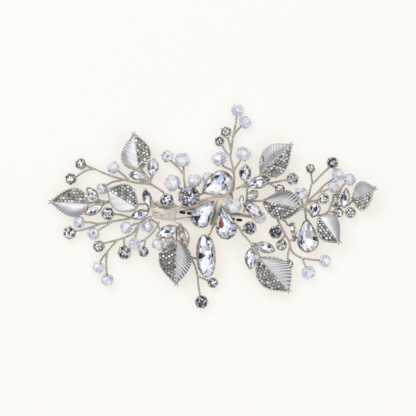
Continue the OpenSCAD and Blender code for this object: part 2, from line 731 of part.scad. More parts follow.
module cup_stones() {
    color(glass)
    for (row = ROUNDS) {
        w = stone_size(row[3]);
        cup_place(row)
            cut_stone(round_outline(w, 8), w, pavilion_depth(w));
    }
}

module round_stone() {
    w = stone_size(CENTRE_ROUND[3]);
    color(glass)
    stand(CENTRE_ROUND)
        cut_stone(round_outline(w, 16), w, pavilion_depth(w));
}

module round_setting() {
    d = CENTRE_ROUND[3];
    depth = setting_depth(stone_size(d));
    color(silver)
    stand(CENTRE_ROUND) {
        difference() {
            translate([0, 0, -depth])
                cylinder(d = d, h = depth - 0.05, $fn = 64);
            translate([0, 0, wall - depth])
                cylinder(d = d - 2 * wall, h = depth + 1, $fn = 64);
        }
        for (a = [30:60:330])
            claw([d / 2 * cos(a), d / 2 * sin(a)], a);
    }
}

// A wall round an outline's stone, with a floor, from the setting's foot to the girdle
module outline_setting(outer, inner, depth) {
    translate([0, 0, -depth])
        linear_extrude(depth - 0.05)
            difference() {
                polygon(outer);
                polygon(inner);
            }
    translate([0, 0, -depth])
        linear_extrude(wall)
            polygon(outer);
}

module oval_stone() {
    l = stone_size(OVAL[3]);
    w = stone_size(OVAL[4]);
    color(glass)
    stand(OVAL)
        turned_piece(OVAL[5], 0, 0)
            cut_stone(oval_outline(l, w, 16), w, pavilion_depth(w));
}

module oval_setting() {
    l = OVAL[3];
    w = OVAL[4];
    color(silver)
    stand(OVAL)
        turned_piece(OVAL[5], 0, 0) {
            outline_setting(
                oval_outline(l, w, 32),
                oval_outline(l - 2 * wall, w - 2 * wall, 32),
                setting_depth(stone_size(w)));
            for (s = [0, 180])
                claw([l / 2 * cos(s), 0], s);
            for (s = [-1, 1], y = [-1, 1])
                claw([s * l * 0.22, y * w * 0.462], y * (90 - s * 10));
        }
}

module drop_place(row) {
    stand(row)
        turned_piece(row[5] + 180, row[6], row[7])
            rotate([0, 0, 180])
                children();
}

module drop_stone(row) {
    r = row[3] - wall - seat_gap;
    reach = row[4] * r / row[3];
    color(glass)
    drop_place(row)
        cut_stone(drop_outline(r, reach, drop_n), 2 * r, pavilion_depth(2 * r));
}

module drop_setting(row) {
    r = row[3];
    reach = row[4];
    inner = (r - wall) / r;
    color(silver)
    drop_place(row) {
        outline_setting(
            drop_outline(r, reach, 2 * drop_n),
            scaled(drop_outline(r, reach, 2 * drop_n), inner),
            setting_depth(2 * (r - wall - seat_gap)));
        claw([-reach + 0.5, 0], 180);
        for (a = [0, 65, -65, 112, -112])
            claw([(r - 0.03) * cos(a), (r - 0.03) * sin(a)], a);
    }
}

// Beads

module bead(d) {
    r = d / 2;
    rotate_extrude($fn = 48)
        polygon([
            [bore_d / 2, -0.9 * r], [0.42 * r, -0.9 * r], [0.84 * r, -0.52 * r], [r, -0.16 * r],
            [r, 0.16 * r], [0.84 * r, 0.52 * r], [0.42 * r, 0.9 * r], [bore_d / 2, 0.9 * r]]);
}

module beads() {
    color(bead_tone)
    for (b = BEADS)
        translate(bead_centre(b))
            rotate([0, 90, b[4]])
                bead(b[3]);
}

clip_plate();
clip_jaw();
core_bundle();
winding(-22, -13);  // winding_left
winding(6.5, 10);  // winding_right
stem_top();
stem_centre_up();
stem_upper_left();
stem_left();
stem_lower_left();
stem_near_left();
stem_bottom();
stem_lower_middle();
stem_right();
stem_lower_right();
stem_right_upper();
for (i = [0:len(LEAVES) - 1])
    leaf(LEAVES[i]);
for (i = [0:len(PEARS) - 1]) {
    drop_stone(PEARS[i]);
    drop_setting(PEARS[i]);
}
oval_stone();
oval_setting();
round_stone();
round_setting();
for (i = [0:len(NAVETTES) - 1])
    navette_stone(NAVETTES[i]);
navette_settings();
cup_settings();
cup_stones();
beads();
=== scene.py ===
import math
import random

import bpy
from bpy.props import FloatProperty, FloatVectorProperty, IntProperty, PointerProperty
from mathutils import Matrix, Vector, kdtree


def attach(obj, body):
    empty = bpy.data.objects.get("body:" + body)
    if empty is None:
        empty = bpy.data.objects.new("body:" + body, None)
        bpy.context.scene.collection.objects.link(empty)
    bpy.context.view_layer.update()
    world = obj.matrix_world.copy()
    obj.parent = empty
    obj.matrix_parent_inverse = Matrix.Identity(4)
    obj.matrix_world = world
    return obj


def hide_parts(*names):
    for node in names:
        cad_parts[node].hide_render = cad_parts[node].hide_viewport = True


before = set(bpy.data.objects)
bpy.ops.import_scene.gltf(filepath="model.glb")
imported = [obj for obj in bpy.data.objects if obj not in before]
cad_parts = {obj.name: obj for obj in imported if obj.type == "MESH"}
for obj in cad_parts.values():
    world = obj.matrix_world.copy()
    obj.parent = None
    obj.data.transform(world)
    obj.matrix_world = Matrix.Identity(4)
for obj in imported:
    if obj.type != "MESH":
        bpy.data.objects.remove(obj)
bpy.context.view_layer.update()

bl_info = {
    "name": "Bridal hair clip",
    "version": (1, 0, 0),
    "blender": (4, 5, 0),
    "location": "View3D > Sidebar > Hair clip",
    "description": "Dresses a slotted hair clip with twisted stems, cast leaves, set stones and cut beads",
    "category": "Object",
}

MM = 0.001

# The rows of the tables are in millimetres and degrees, measured in the photograph. The size of a stone is
# the outer size of its setting.
NAVETTES = [
    # x, y, lift, length, width, turn, pitch, roll
    [-29.7, 18.2, 2.6, 8.8, 4.3, -8, 0, 0],
    [-22.9, 21.9, 2.2, 8.3, 4.9, 82, 0, 0],
    [-25.5, 8.0, 2.6, 9.2, 3.9, 106, 0, 0],
    [-28.8, 0.6, 2.8, 9.0, 4.3, 17, 0, 0],
    [-49.7, 2.8, 1.6, 9.4, 4.3, 27, 0, 0],
    [-50.2, 9.8, 1.6, 8.0, 4.3, -50, 0, 0],
    [-16.7, -7.0, 3.2, 10.8, 5.2, 25, 0, 0],
    [-9.0, -8.8, 4.4, 10.0, 4.5, -69, 0, 0],
    [18.5, 19.4, 1.6, 8.2, 5.2, 88, 0, 0],
    [24.8, 15.2, 3.3, 10.6, 5.5, 17, 0, 0],
    [21.6, 9.2, 2.8, 6.8, 4.4, 35, 0, 0],
    [21.8, 3.1, 3.4, 10.6, 4.8, -35, 0, 0],
    [27.7, -14.1, 1.6, 9.2, 4.8, -20, 0, 0],
    [21.1, -19.1, 1.2, 10.2, 5.3, 85, 0, 0],
    [63.5, 8.1, 3.2, 9.4, 4.0, 82, 0, 0],
    [49.8, 2.9, 2.8, 7.6, 5.0, 72, 0, 0],
    [40.8, -6.6, 1.2, 7.4, 4.0, -80, 0, -85],
    [60.2, 7.0, 3.2, 7.0, 3.8, 82, 0, 85],
]

ROUNDS = [
    # x, y, lift, outer diameter, tilt, direction that it tilts to
    [-55.8, 23.9, 1.0, 4.6, 35, 120],
    [-60.6, 16.5, 1.0, 4.8, 45, 200],
    [-43.3, 1.0, 1.0, 5.8, 0, 0],
    [-60.7, -7.6, 1.0, 5.6, 8, 200],
    [-47.5, -13.7, 1.0, 5.0, 10, 200],
    [-35.8, -16.5, 1.0, 6.0, 0, 0],
    [-27.2, -16.1, 1.0, 4.6, 0, 0],
    [-16.7, 7.1, 3.6, 6.0, 0, 0],
    [4.1, -30.1, 1.0, 4.6, 8, 0],
    [-1.1, -38.7, 1.0, 5.8, 0, 0],
    [20.7, -5.5, 1.2, 5.8, 0, 0],
    [32.2, -7.3, 1.0, 5.8, 0, 0],
    [34.9, -13.1, 1.0, 4.8, 0, 0],
    [38.5, -21.8, 1.0, 4.0, 30, 0],
    [9.8, 37.9, 1.0, 5.0, 10, 120],
    [7.0, 33.5, 1.0, 4.4, 0, 0],
    [39.8, 16.7, 1.0, 5.4, 0, 0],
    [34.2, 12.6, 1.0, 4.2, 40, 80],
    [57.9, 24.0, 1.0, 5.2, 0, 0],
    [48.0, 21.6, 1.0, 4.0, 25, 90],
    [53.9, 7.9, 1.2, 5.0, 0, 0],
    [60.7, 1.4, 1.2, 4.4, 20, 300],
    [66.0, 1.6, 1.2, 4.9, 0, 0],
]

BEADS = [
    # x, y, lift, diameter, heading of the stem that enters it
    [-40.9, 21.9, 0, 5.6, 144],
    [-45.8, 12.4, 0, 5.4, 216],
    [-56.3, -2.7, 0, 5.4, 178],
    [-49.8, -8.0, 0, 5.6, 215],
    [-35.1, -5.2, 0, 5.6, 200],
    [-25.5, -4.8, -1.6, 5.6, 250],
    [-31.4, -12.6, 0, 5.4, 261],
    [-47.6, -23.1, 0, 5.4, 250],
    [-43.6, -28.8, 0, 5.6, 276],
    [-20.7, -12.8, -0.6, 5.6, 247],
    [-15.4, -10.8, -1.2, 4.6, 265],
    [-16.6, 26.9, 0, 5.6, 131],
    [-9.8, 25.2, 0.4, 6.8, 99],
    [-14.2, 14.9, 0, 7.4, 145],
    [-4.3, 16.0, -1.2, 6.2, 93],
    [1.9, 17.0, -1.2, 5.8, 85],
    [6.9, 25.7, 0.4, 6.8, 121],
    [17.8, 27.9, 0.4, 6.8, 63],
    [15.1, 47.6, 0, 5.8, 82],
    [18.5, 42.2, 0, 5.6, 45],
    [13.3, 4.5, 2.0, 7.0, 280],
    [25.2, -0.9, -1.5, 5.6, 300],
    [43.7, 10.1, 0.2, 6.0, 97],
    [60.3, 18.6, 0, 5.8, 40],
    [65.6, 16.5, 0, 5.6, 44],
    [58.5, 13.1, 0, 5.6, 22],
    [54.5, -20.3, 0, 5.6, -6],
    [47.1, -25.5, 0, 6.2, -65],
]

PEARS = [
    # x and y of the round end's centre, lift, its radius, length to the point, turn, pitch, roll
    [7.6, 14.9, 4.8, 5.5, 10.0, 25, 0, 0],
    [-1.3, -0.7, 2.3, 4.5, 9.9, -128, 0, 0],
    [10.0, -5.8, 4.2, 4.6, 11.7, -78, 0, 0],
    [46.8, -11.5, 2.6, 4.8, 11.0, -86, 0, 0],
]

LEAVES = [
    # x and y of the base, lift, heading, length, width of the ribbed half, width of the set half, pitch,
    # roll, fullness of the ribbed half, fullness of the set half
    [-29.3, 20.9, 1.2, 98, 16.2, 7.0, 6.3, 10, 0, 1, 1.2],
    [-52.3, 5.5, 1.2, 177, 16.8, 6.0, 6.7, 7, 0, 1, 1],
    [-30.1, 3.5, 1.6, 148, 15.8, 5.4, 6.9, 9, 0, 1.4, 1.5],
    [-12.2, -11.0, 1.5, 269, 19.6, 6.6, 7.9, 2, 0, 1.2, 1.2],
    [25.5, 19.7, 1.2, 42, 18.7, 6.3, 7.0, 12, 0, 1.4, 1],
    [26.6, 6.8, 1.4, -11, 17.6, 6.5, 7.0, 8, 0, 1.8, 1.35],
    [24.8, -18.9, 1.6, -48, 20.0, 7.7, 7.2, 2, 0, 1.5, 1.25],
    [52.0, -0.5, 1.4, -53, 14.8, 5.8, 5.5, 22, 0, 1, 1.5],
    [66.8, 7.4, 1.2, 26, 13.2, 5.6, 6.5, 38, 0, 2.1, 0.75],
]

# Oval stone below the clip: x, y, lift, length, width, turn
OVAL = [0.9, -18.0, 2.6, 19.2, 8.6, -87]
# Round stone above it: x, y, lift, diameter
CENTRE_ROUND = [-6.7, 8.6, 4.4, 9.8]

# Stems: each route has the bead that it ends in, if any, and its points as x, y and lift. A lift of 0 is left
# out, and a branch starts on its own stem.
STEMS = {
    "stem_top": [
        (18, [(9.5, 4.3, -1.2), (10.6, 7.0, -0.6), (12.9, 11.2), (13.6, 15.0), (13.4, 20.6), (11.9, 26.6),
            (12.3, 29.7), (13.1, 35.5), (14.3, 41.6)]),
        (19, [(13.3, 36.0), (13.9, 37.3), (15.6, 39.3)]),
        (16, [(13.6, 18.6), (12.2, 20.8)]),
        (17, [(13.5, 19.8), (14.4, 22.0)]),
        (20, [(12.0, 9.7, -0.2), (12.6, 9.9, 1.2)]),
        (None, [(11.9, 26.6), (9.6, 29.3), (8.4, 31.4)]),
        (None, [(12.2, 29.2), (11.5, 32.6), (10.7, 35.1)]),
    ],
    "stem_centre_up": [
        (12, [(-8.1, 5.7, -0.6), (-8.4, 12.0, -0.6), (-9.0, 16.8), (-9.2, 20.2)]),
        (11, [(-9.1, 18.6), (-11.7, 21.8), (-13.8, 23.8)]),
        (13, [(-8.3, 10.0, -0.6), (-9.2, 11.5)]),
        (14, [(-8.1, 6.4, -0.6), (-4.6, 9.0, -1.2)]),
        (15, [(-5.6, 8.2, -1.1), (-2.0, 9.4, -1.3), (1.2, 11.5, -1.3)]),
    ],
    "stem_upper_left": [
        (None, [(-17.0, 7.7), (-18.3, 10.6), (-21.6, 12.9), (-24.3, 14.3), (-30.2, 14.9), (-36.1, 16.4),
            (-42.5, 18.3), (-50.1, 21.5), (-52.8, 22.5)]),
        (0, [(-33.4, 15.7), (-36.2, 18.4)]),
        (1, [(-35.4, 16.3), (-40.6, 15.5)]),
        (None, [(-49.4, 21.2), (-52.2, 20.8), (-54.5, 19.8), (-56.7, 18.3), (-58.0, 17.1)]),
        (None, [(-24.3, 14.3), (-24.7, 16.4), (-27.0, 19.4), (-29.4, 22.6)]),
    ],
    "stem_left": [
        (2, [(-24.9, 2.9), (-28.6, 0.3), (-33.0, -1.0), (-41.4, -2.5), (-47.3, -3.5), (-51.0, -2.9)]),
        (3, [(-41.0, -2.4), (-44.1, -4.3)]),
        (None, [(-45.6, -3.2), (-49.0, -4.4), (-52.2, -5.4), (-54.9, -6.3), (-57.5, -6.7)]),
        (None, [(-32.6, -0.9), (-36.9, 0.4), (-40.1, 0.9)]),
        (None, [(-25.6, 5.6), (-31.0, 5.2), (-38.0, 5.6), (-44.0, 6.2, -0.3), (-47.5, 6.3, -0.9),
            (-54.0, 5.5, -0.6)]),
        (None, [(-25.6, 5.6), (-24.9, 2.9)]),
        (None, [(-43.4, 6.2, -0.3), (-44.8, 5.6, -0.3)]),
        (None, [(-45.6, 6.3, -0.6), (-46.7, 7.0)]),
    ],
    "stem_lower_left": [
        (None, [(-23.0, 0.1), (-26.0, -1.2), (-28.9, -3.2), (-32.2, -8.0), (-34.4, -9.1), (-36.2, -9.9),
            (-39.3, -10.9), (-42.7, -11.7), (-44.7, -12.3)]),
        (7, [(-38.9, -10.8), (-41.9, -14.0), (-43.7, -16.3), (-45.6, -18.6)]),
        (8, [(-43.7, -16.3), (-44.1, -20.0), (-44.0, -24.2)]),
        (None, [(-36.1, -9.8), (-35.9, -13.1)]),
        (6, [(-28.8, -3.1), (-29.8, -5.6), (-30.7, -8.6)]),
        (4, [(-28.9, -3.2), (-31.2, -3.6)]),
    ],
    "stem_near_left": [
        (None, [(-20.3, -2.9), (-20.9, -4.3), (-23.1, -7.5), (-26.1, -10.4), (-26.6, -12.2), (-26.9, -13.5)]),
        (None, [(-26.1, -10.4), (-28.4, -11.5)]),
        (9, [(-20.9, -4.3), (-19.3, -7.0), (-19.0, -9.0, -0.4)]),
        (5, [(-20.6, -3.6), (-22.4, -2.4, -1)]),
    ],
    "stem_bottom": [
        (None, [(-10.4, -3.6), (-8.8, -9.0), (-8.0, -14.0), (-6.6, -18.2), (-5.0, -20.3), (-3.8, -23.4),
            (-2.9, -27.0), (-2.5, -31.5), (-1.8, -35.6)]),
        (10, [(-12.2, -5.8), (-14.6, -6.4, -0.8)]),
        (None, [(5.0, -3.2, -0.4), (3.9, -5.2), (2.6, -8.2)]),
        (None, [(-2.8, -27.2), (-0.5, -28.1), (1.7, -29.0)]),
        (None, [(-6.4, -18.5), (-4.6, -18.9), (-3.7, -19.0)]),
        (None, [(-10.4, -3.6), (-12.2, -6.0), (-12.3, -9.0), (-12.2, -13.0)]),
    ],
    "stem_lower_middle": [
        (None, [(12.4, -2.6, -0.4), (15.3, -4.8), (17.2, -7.8), (18.9, -9.6), (20.9, -11.9), (22.4, -13.4),
            (24.2, -16.4), (25.9, -20.2)]),
        (None, [(16.3, -6.6), (17.6, -6.5)]),
        (None, [(21.0, -12.0), (23.0, -12.6)]),
        (None, [(21.4, -12.5), (21.6, -13.3)]),
    ],
    "stem_right": [
        (None, [(14.6, 12.2), (17.6, 13.6), (19.2, 12.8), (19.4, 10.0), (19.3, 7.6), (20.6, 6.7), (24.0, 6.7),
            (26.6, 6.8), (29.0, 6.2)]),
        (21, [(19.3, 6.8), (20.4, 4.6)]),
        (None, [(17.6, 13.6), (18.4, 14.6)]),
        (None, [(19.0, 13.0), (24.0, 13.5), (29.4, 14.7), (33.0, 15.4), (36.8, 16.2)]),
        (None, [(29.4, 14.7), (31.0, 13.8), (31.9, 13.0)]),
        (None, [(24.0, 13.5), (24.4, 17.0), (26.4, 20.9)]),
        (None, [(19.3, 7.6), (18.4, 3.6), (17.8, 1.9, -0.2)]),
    ],
    "stem_lower_right": [
        (26, [(33.2, 4.2), (33.1, -1.5), (34.3, -3.8), (35.8, -6.6), (36.8, -8.8), (38.3, -11.2),
            (38.9, -14.0), (40.0, -16.4), (43.2, -18.6), (45.9, -19.3), (49.5, -19.8)]),
        (27, [(44.2, -18.9), (45.0, -20.8)]),
        (None, [(34.1, -3.5), (33.5, -4.1)]),
        (None, [(36.6, -8.6), (35.7, -9.7), (35.3, -10.5)]),
        (None, [(38.8, -13.6), (37.9, -17.0), (37.7, -19.0)]),
        (None, [(33.2, -0.4), (36.6, -2.4), (38.0, -4.2)]),
        (None, [(38.0, -10.7), (39.6, -11.0), (40.9, -11.2)]),
    ],
    "stem_right_upper": [
        (23, [(30.4, 6.0), (36.0, 4.6), (42.0, 3.9), (45.4, 4.6), (48.2, 7.9), (51.6, 11.0), (54.5, 14.1)]),
        (25, [(51.4, 10.8), (53.6, 11.1)]),
        (24, [(61.6, 11.7), (62.4, 13.4)]),
        (22, [(45.0, 4.5), (44.4, 5.4)]),
        (None, [(45.4, 4.6), (46.6, 7.2), (47.5, 10.4), (48.2, 13.2), (48.7, 15.4), (48.3, 18.8)]),
        (None, [(48.3, 13.8), (52.2, 17.8), (56.0, 21.5)]),
        (None, [(45.8, 5.1), (48.6, 6.6), (50.8, 7.1)]),
        (None, [(45.2, 4.5), (47.8, 1.4), (52.6, 0.2), (55.9, 2.0), (57.2, 5.0), (58.1, 7.4), (58.4, 9.6)]),
        (None, [(57.9, 6.9), (60.1, 8.6), (62.0, 12.4)]),
        (None, [(55.9, 2.0), (57.9, 1.8)]),
        (None, [(57.0, 4.5), (61.0, 4.6), (65.0, 5.0), (67.8, 8.2)]),
        (None, [(45.2, 4.5), (45.6, 1.8), (45.9, 0.1)]),
    ],
}

# Sizes shared with the solids, in millimetres
RIM_Z = 3.2
ARCH_H = 4.3
REACH_X = 36.0
REACH_Y = 24.0
WALL = 0.35
SEAT_GAP = 0.1
CLIP_TURN = math.radians(-7.5)
PLATE_TOP = 4.5
PLATE_W = 7.0
SHEET_T = 0.9
BUNDLE_D = 1.8
BUNDLE_Y = 2.7
# Start and length of the bundle along the clip, and both ends of each winding
BUNDLE_START = -21.6
BUNDLE_LENGTH = 43.1
WINDINGS = (("winding_left", -21.8, -13.2), ("winding_right", 6.7, 9.8))
# Size of a pixel of the photograph, and the pixel over the origin
PHOTO_MM = 0.45
PHOTO_ORIGIN = (204.0, 216.0)
# Width of the photograph at the clip, in metres
PHOTO_WIDTH = 0.1872
# How brightly the lamps and the tent light the floor
FLOOR_LIGHT = 1.02

# Tones painted on the faces of the stones and the small stones, mostly painted reflections of the light and
# dark round the cut glass
COLOURS = {
    "white": (0.98, 0.97, 0.975),
    "frost": (0.81, 0.815, 0.86),
    "ice": (0.56, 0.66, 0.86),
    "mist": (0.665, 0.65, 0.67),
    "grey": (0.40, 0.39, 0.40),
    "slate": (0.16, 0.19, 0.28),
    "ink": (0.014, 0.017, 0.035),
    "umber": (0.10, 0.052, 0.04),
    "red": (0.26, 0.065, 0.048),
    "sky": (0.32, 0.53, 0.84),
    "pearl": (0.85, 0.88, 0.95),
    "cream": (0.92, 0.82, 0.66),
    "steel": (0.34, 0.40, 0.52),
    "amber": (0.25, 0.13, 0.065),
    "mauve": (0.46, 0.42, 0.44),
    "tan": (0.44, 0.34, 0.25),
    "olive": (0.15, 0.135, 0.11),
    "plum": (0.075, 0.06, 0.085),
    "taupe": (0.30, 0.27, 0.235),
}


class ClipLooks(bpy.types.PropertyGroup):
    strand_d: FloatProperty(
        name="Strand", description="Diameter of one of a stem's two wires", default=0.56 * MM, unit="LENGTH")
    twist: FloatProperty(
        name="Twist", description="Length of one full twist of a stem", default=2.2 * MM, unit="LENGTH")
    winding_d: FloatProperty(
        name="Winding wire", description="Diameter of the binding wire", default=0.42 * MM, unit="LENGTH")
    leaf_ribs: IntProperty(name="Ribs", description="Fine ribs on the plain half of a leaf", default=16)
    pave_step: FloatProperty(
        name="Pave step", description="Distance between small stones", default=1.5 * MM, unit="LENGTH")
    wire_colour: FloatVectorProperty(
        name="Wire", description="Colour of the stems", default=(0.475, 0.43, 0.385), subtype="COLOR")
    silver_colour: FloatVectorProperty(
        name="Silver", description="Colour of the cast metal", default=(0.74, 0.74, 0.75), subtype="COLOR")
    bead_colour: FloatVectorProperty(
        name="Beads", description="Colour of the cut beads", default=(0.885, 0.88, 0.99), subtype="COLOR")
    floor_colour: FloatVectorProperty(
        name="Floor", description="Colour of the floor", default=(0.965, 0.956, 0.913), subtype="COLOR")
    key_power: FloatProperty(
        name="Key light", description="Power of the large soft light", default=3.5, unit="POWER")


def looks():
    return bpy.context.scene.clip_looks


def arch(x, y):
    """Height of the stems over the resting face."""
    return RIM_Z + ARCH_H * math.exp(-((x / REACH_X) ** 2 + (y / REACH_Y) ** 2))


def lifted(q):
    """The place of a row, or of a route's point, whose lift may be left out."""
    return Vector((q[0], q[1], arch(q[0], q[1]) + (q[2] if len(q) > 2 else 0)))


def turn_z(degrees):
    return Matrix.Rotation(math.radians(degrees), 4, "Z")


def turned_piece(turn, pitch, roll):
    """Turn about Z, then pitch and roll about the piece's own axes, as in the solids."""
    return (turn_z(turn) @ Matrix.Rotation(math.radians(-pitch), 4, "Y")
            @ Matrix.Rotation(math.radians(roll), 4, "X"))


def in_metres(place):
    return Matrix.Scale(MM, 4) @ place


def navette_place(row):
    return Matrix.Translation(lifted(row)) @ turned_piece(row[5], row[6], row[7])


def round_place(row):
    tilt = Matrix.Rotation(math.radians(row[4]), 4, "Y")
    return Matrix.Translation(lifted(row)) @ turn_z(row[5]) @ tilt @ turn_z(-row[5])


def drop_place(row):
    return Matrix.Translation(lifted(row)) @ turned_piece(row[5] + 180, row[6], row[7]) @ turn_z(180)


def oval_place():
    return Matrix.Translation(lifted(OVAL)) @ turn_z(OVAL[5])


def stone_size(outer):
    """Size of the stone in a setting of this outer size."""
    return outer - 2 * (WALL + SEAT_GAP)


def pavilion_depth(width):
    return min(0.42 * width, 2.6)


def crown_height(width):
    return min(0.18 * width, 1.3)


def setting_depth(width):
    return pavilion_depth(width) + SEAT_GAP + WALL


# Outlines, point by point round the stone


def around(radius, a):
    return radius * math.cos(a), radius * math.sin(a)


def round_outline(d, n):
    return [around(d / 2, 2 * math.pi * i / n) for i in range(n)]


def navette_radius(length, width):
    return (length ** 2 + width ** 2) / (4 * width)


def navette_outline(length, width, n):
    radius = navette_radius(length, width)
    points = []
    for i in range(n):
        t = 2 * math.pi * i / n
        x = length / 2 * math.cos(t)
        side = math.sqrt(radius ** 2 - x * x) - radius + width / 2
        points.append((x, math.copysign(max(side, 0), math.sin(t)) if abs(math.sin(t)) > 0.01 else 0.0))
    return points


def navette_stone_length(length, width):
    outer = navette_radius(length, width)
    return 2 * math.sqrt((outer - WALL - SEAT_GAP) ** 2 - (outer - width / 2) ** 2)


def oval_outline(length, width, n):
    points = []
    for i in range(n):
        t = 2 * math.pi * i / n
        points.append((length / 2 * math.cos(t),
                       math.copysign(width / 2 * abs(math.sin(t)) ** 0.85, math.sin(t))))
    return points


def drop_outline(r, reach, n):
    """An arc round the origin and two bulged sides to a blunt point at -X."""
    g = math.acos(r / reach)
    span = 2 * (math.pi - g)
    points = []
    for i in range(n + 1):
        points.append(around(r, g - math.pi + i * span / n))
    for side in (1, -1):
        shares = (0.2, 0.4, 0.6, 0.8, 0.95) if side == 1 else (0.95, 0.8, 0.6, 0.4, 0.2)
        for f in shares:
            t = (-r * math.cos(g), side * r * math.sin(g))
            bulge = 0.05 * reach * math.sin(math.pi * min(f, 1.0)) ** 0.8
            points.append((t[0] + (-reach - t[0]) * f - bulge * math.cos(g),
                           t[1] - t[1] * f + side * bulge * math.sin(g)))
    return points


def evened(outline, n):
    """The same outline with its points at even angles."""
    points = []
    for i in range(n):
        ray = Vector(around(1, 2 * math.pi * i / n))
        best = 0.0
        for p, q in zip(outline, outline[1:] + outline[:1]):
            along = Vector(q) - Vector(p)
            across = ray.x * along.y - ray.y * along.x
            if abs(across) < 1e-9:
                continue
            s = (p[0] * along.y - p[1] * along.x) / across
            t = (p[0] * ray.y - p[1] * ray.x) / across
            if s > 0 and -1e-6 <= t <= 1 + 1e-6:
                best = max(best, s)
        points.append((best * ray.x, best * ray.y))
    return points


# Handling pieces


def clear_selection():
    if bpy.context.object and bpy.context.object.mode != "OBJECT":
        bpy.ops.object.mode_set(mode="OBJECT")
    bpy.ops.object.select_all(action="DESELECT")


def pick(piece):
    clear_selection()
    piece.select_set(True)
    bpy.context.view_layer.objects.active = piece


def edit(piece):
    pick(piece)
    bpy.ops.object.mode_set(mode="EDIT")
    bpy.ops.mesh.select_mode(type="FACE")
    bpy.ops.mesh.select_all(action="DESELECT")


def done_editing():
    bpy.ops.object.mode_set(mode="OBJECT")


def select_faces(piece, wanted):
    """Selects in edit mode the faces whose centre and normal are wanted."""
    bpy.ops.object.mode_set(mode="OBJECT")
    for face in piece.data.polygons:
        face.select = wanted(face.center, face.normal)
    bpy.ops.object.mode_set(mode="EDIT")


def settle(piece, place):
    """Puts a piece's place in its mesh, with its object at the origin."""
    piece.data.transform(place)
    if place.determinant() < 0:
        piece.data.flip_normals()
    piece.matrix_world = Matrix.Identity(4)


def copy_of(piece, place):
    twin = piece.copy()
    twin.data = piece.data.copy()
    bpy.context.collection.objects.link(twin)
    settle(twin, place)
    return twin


def joined(pieces, name):
    clear_selection()
    for piece in pieces:
        piece.select_set(True)
    bpy.context.view_layer.objects.active = pieces[0]
    if len(pieces) > 1:
        bpy.ops.object.join()
    whole = bpy.context.object
    whole.name = name
    whole.data.name = name
    return whole


def drop(piece):
    bpy.data.objects.remove(piece, do_unlink=True)


def paint(piece, chosen):
    """Stores a colour for every face, chosen by its centre, its normal and its number."""
    mesh = piece.data
    tone = mesh.color_attributes.get("tone") or mesh.color_attributes.new("tone", "FLOAT_COLOR", "CORNER")
    for face in mesh.polygons:
        colour = (*chosen(face.center, face.normal, face.index), 1.0)
        for corner in face.loop_indices:
            tone.data[corner].color = colour


def levelled(colour, level, most=1.0):
    return tuple(min(most, c * level) for c in colour)


def wear(piece, finish):
    piece.data.materials.clear()
    piece.data.materials.append(finish)


def shaded(piece, angle):
    pick(piece)
    bpy.ops.object.shade_smooth_by_angle(angle=math.radians(angle))


def hand_over(piece, slot, *nodes):
    """Puts a finished piece on the root body and hides the solids that it stands for. Its slot is not used.
    """
    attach(piece, "root")
    if nodes:
        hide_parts(*nodes)


# Finishes


def set_stops(ramp, stops):
    while len(ramp.elements) < len(stops):
        ramp.elements.new(0.5)
    for element, (position, colour) in zip(ramp.elements, stops):
        element.position = position
        element.color = (*colour, 1.0)


class Value:
    """A number on a shader socket that Python's arithmetic builds on."""

    def __init__(self, finish, socket):
        self.finish = finish
        self.socket = socket

    def _maths(self, operation, *terms):
        return self.finish.node("ShaderNodeMath", {"operation": operation}, dict(enumerate(terms)))

    def __add__(self, other):
        return self._maths("ADD", self, other)

    __radd__ = __add__

    def __mul__(self, other):
        return self._maths("MULTIPLY", self, other)

    def above(self, other):
        return self._maths("GREATER_THAN", self, other)


class Finish:
    """A node material with one Principled shader."""

    def __init__(self, name, **constants):
        self.material = bpy.data.materials.new(name)
        self.material.use_nodes = True
        self.tree = self.material.node_tree
        self.shader = self.tree.nodes["Principled BSDF"]
        for socket, value in constants.items():
            self.shader.inputs[socket.replace("_", " ").title().replace("Ior", "IOR")].default_value = value

    def node(self, kind, settings, inputs, output=0):
        made = self.tree.nodes.new(kind)
        for key, value in settings.items():
            if key == "stops":
                set_stops(made.color_ramp, value)
            else:
                setattr(made, key, value)
        for key, value in inputs.items():
            if isinstance(value, Value):
                self.tree.links.new(value.socket, made.inputs[key])
            else:
                made.inputs[key].default_value = value
        return Value(self, made.outputs[output])

    def place(self, scale=(1, 1, 1), turn=0.0):
        """Object coordinates, stretched and turned about Z."""
        here = self.node("ShaderNodeTexCoord", {}, {}, "Object")
        return self.node("ShaderNodeMapping", {}, {"Vector": here, "Scale": scale, "Rotation": (0, 0, turn)})

    def noise(self, scale, detail=2.0, vector=None):
        inputs = {"Scale": scale, "Detail": detail, "Vector": vector or self.place()}
        return self.node("ShaderNodeTexNoise", {}, inputs, "Fac")

    def part(self, vector, number):
        """One of a vector's three numbers."""
        return self.node("ShaderNodeSeparateXYZ", {}, {0: vector}, number)

    def toned(self, shade):
        """The colour that each face was painted with, times a shade."""
        tone = self.node("ShaderNodeAttribute", {"attribute_name": "tone"}, {}, "Color")
        return self.mix(1.0, tone, shade, "MULTIPLY")

    def mix(self, factor, first, second, blend="MIX"):
        return self.node("ShaderNodeMix", {"data_type": "RGBA", "blend_type": blend},
                         {0: factor, 6: first, 7: second}, 2)

    def ramp(self, factor, *stops):
        return self.node("ShaderNodeValToRGB", {"stops": stops}, {"Fac": factor}, "Color")

    def feed(self, socket, value):
        self.tree.links.new(value.socket, self.shader.inputs[socket])

    def bump(self, height, strength, distance):
        inputs = {"Height": height, "Strength": strength, "Distance": distance}
        self.feed("Normal", self.node("ShaderNodeBump", {}, inputs, "Normal"))


def rgba(colour, k=1.0):
    return (colour[0] * k, colour[1] * k, colour[2] * k, 1.0)


def wire_finish():
    finish = Finish("champagne wire", metallic=0.6, roughness=0.34)
    grain = finish.mix(finish.noise(900, 3), rgba((0.75, 0.75, 0.75)), rgba((1.25, 1.25, 1.25)))
    finish.feed("Base Color", finish.toned(grain))
    finish.feed("Roughness", 0.26 + finish.noise(1500) * 0.2)
    return finish.material


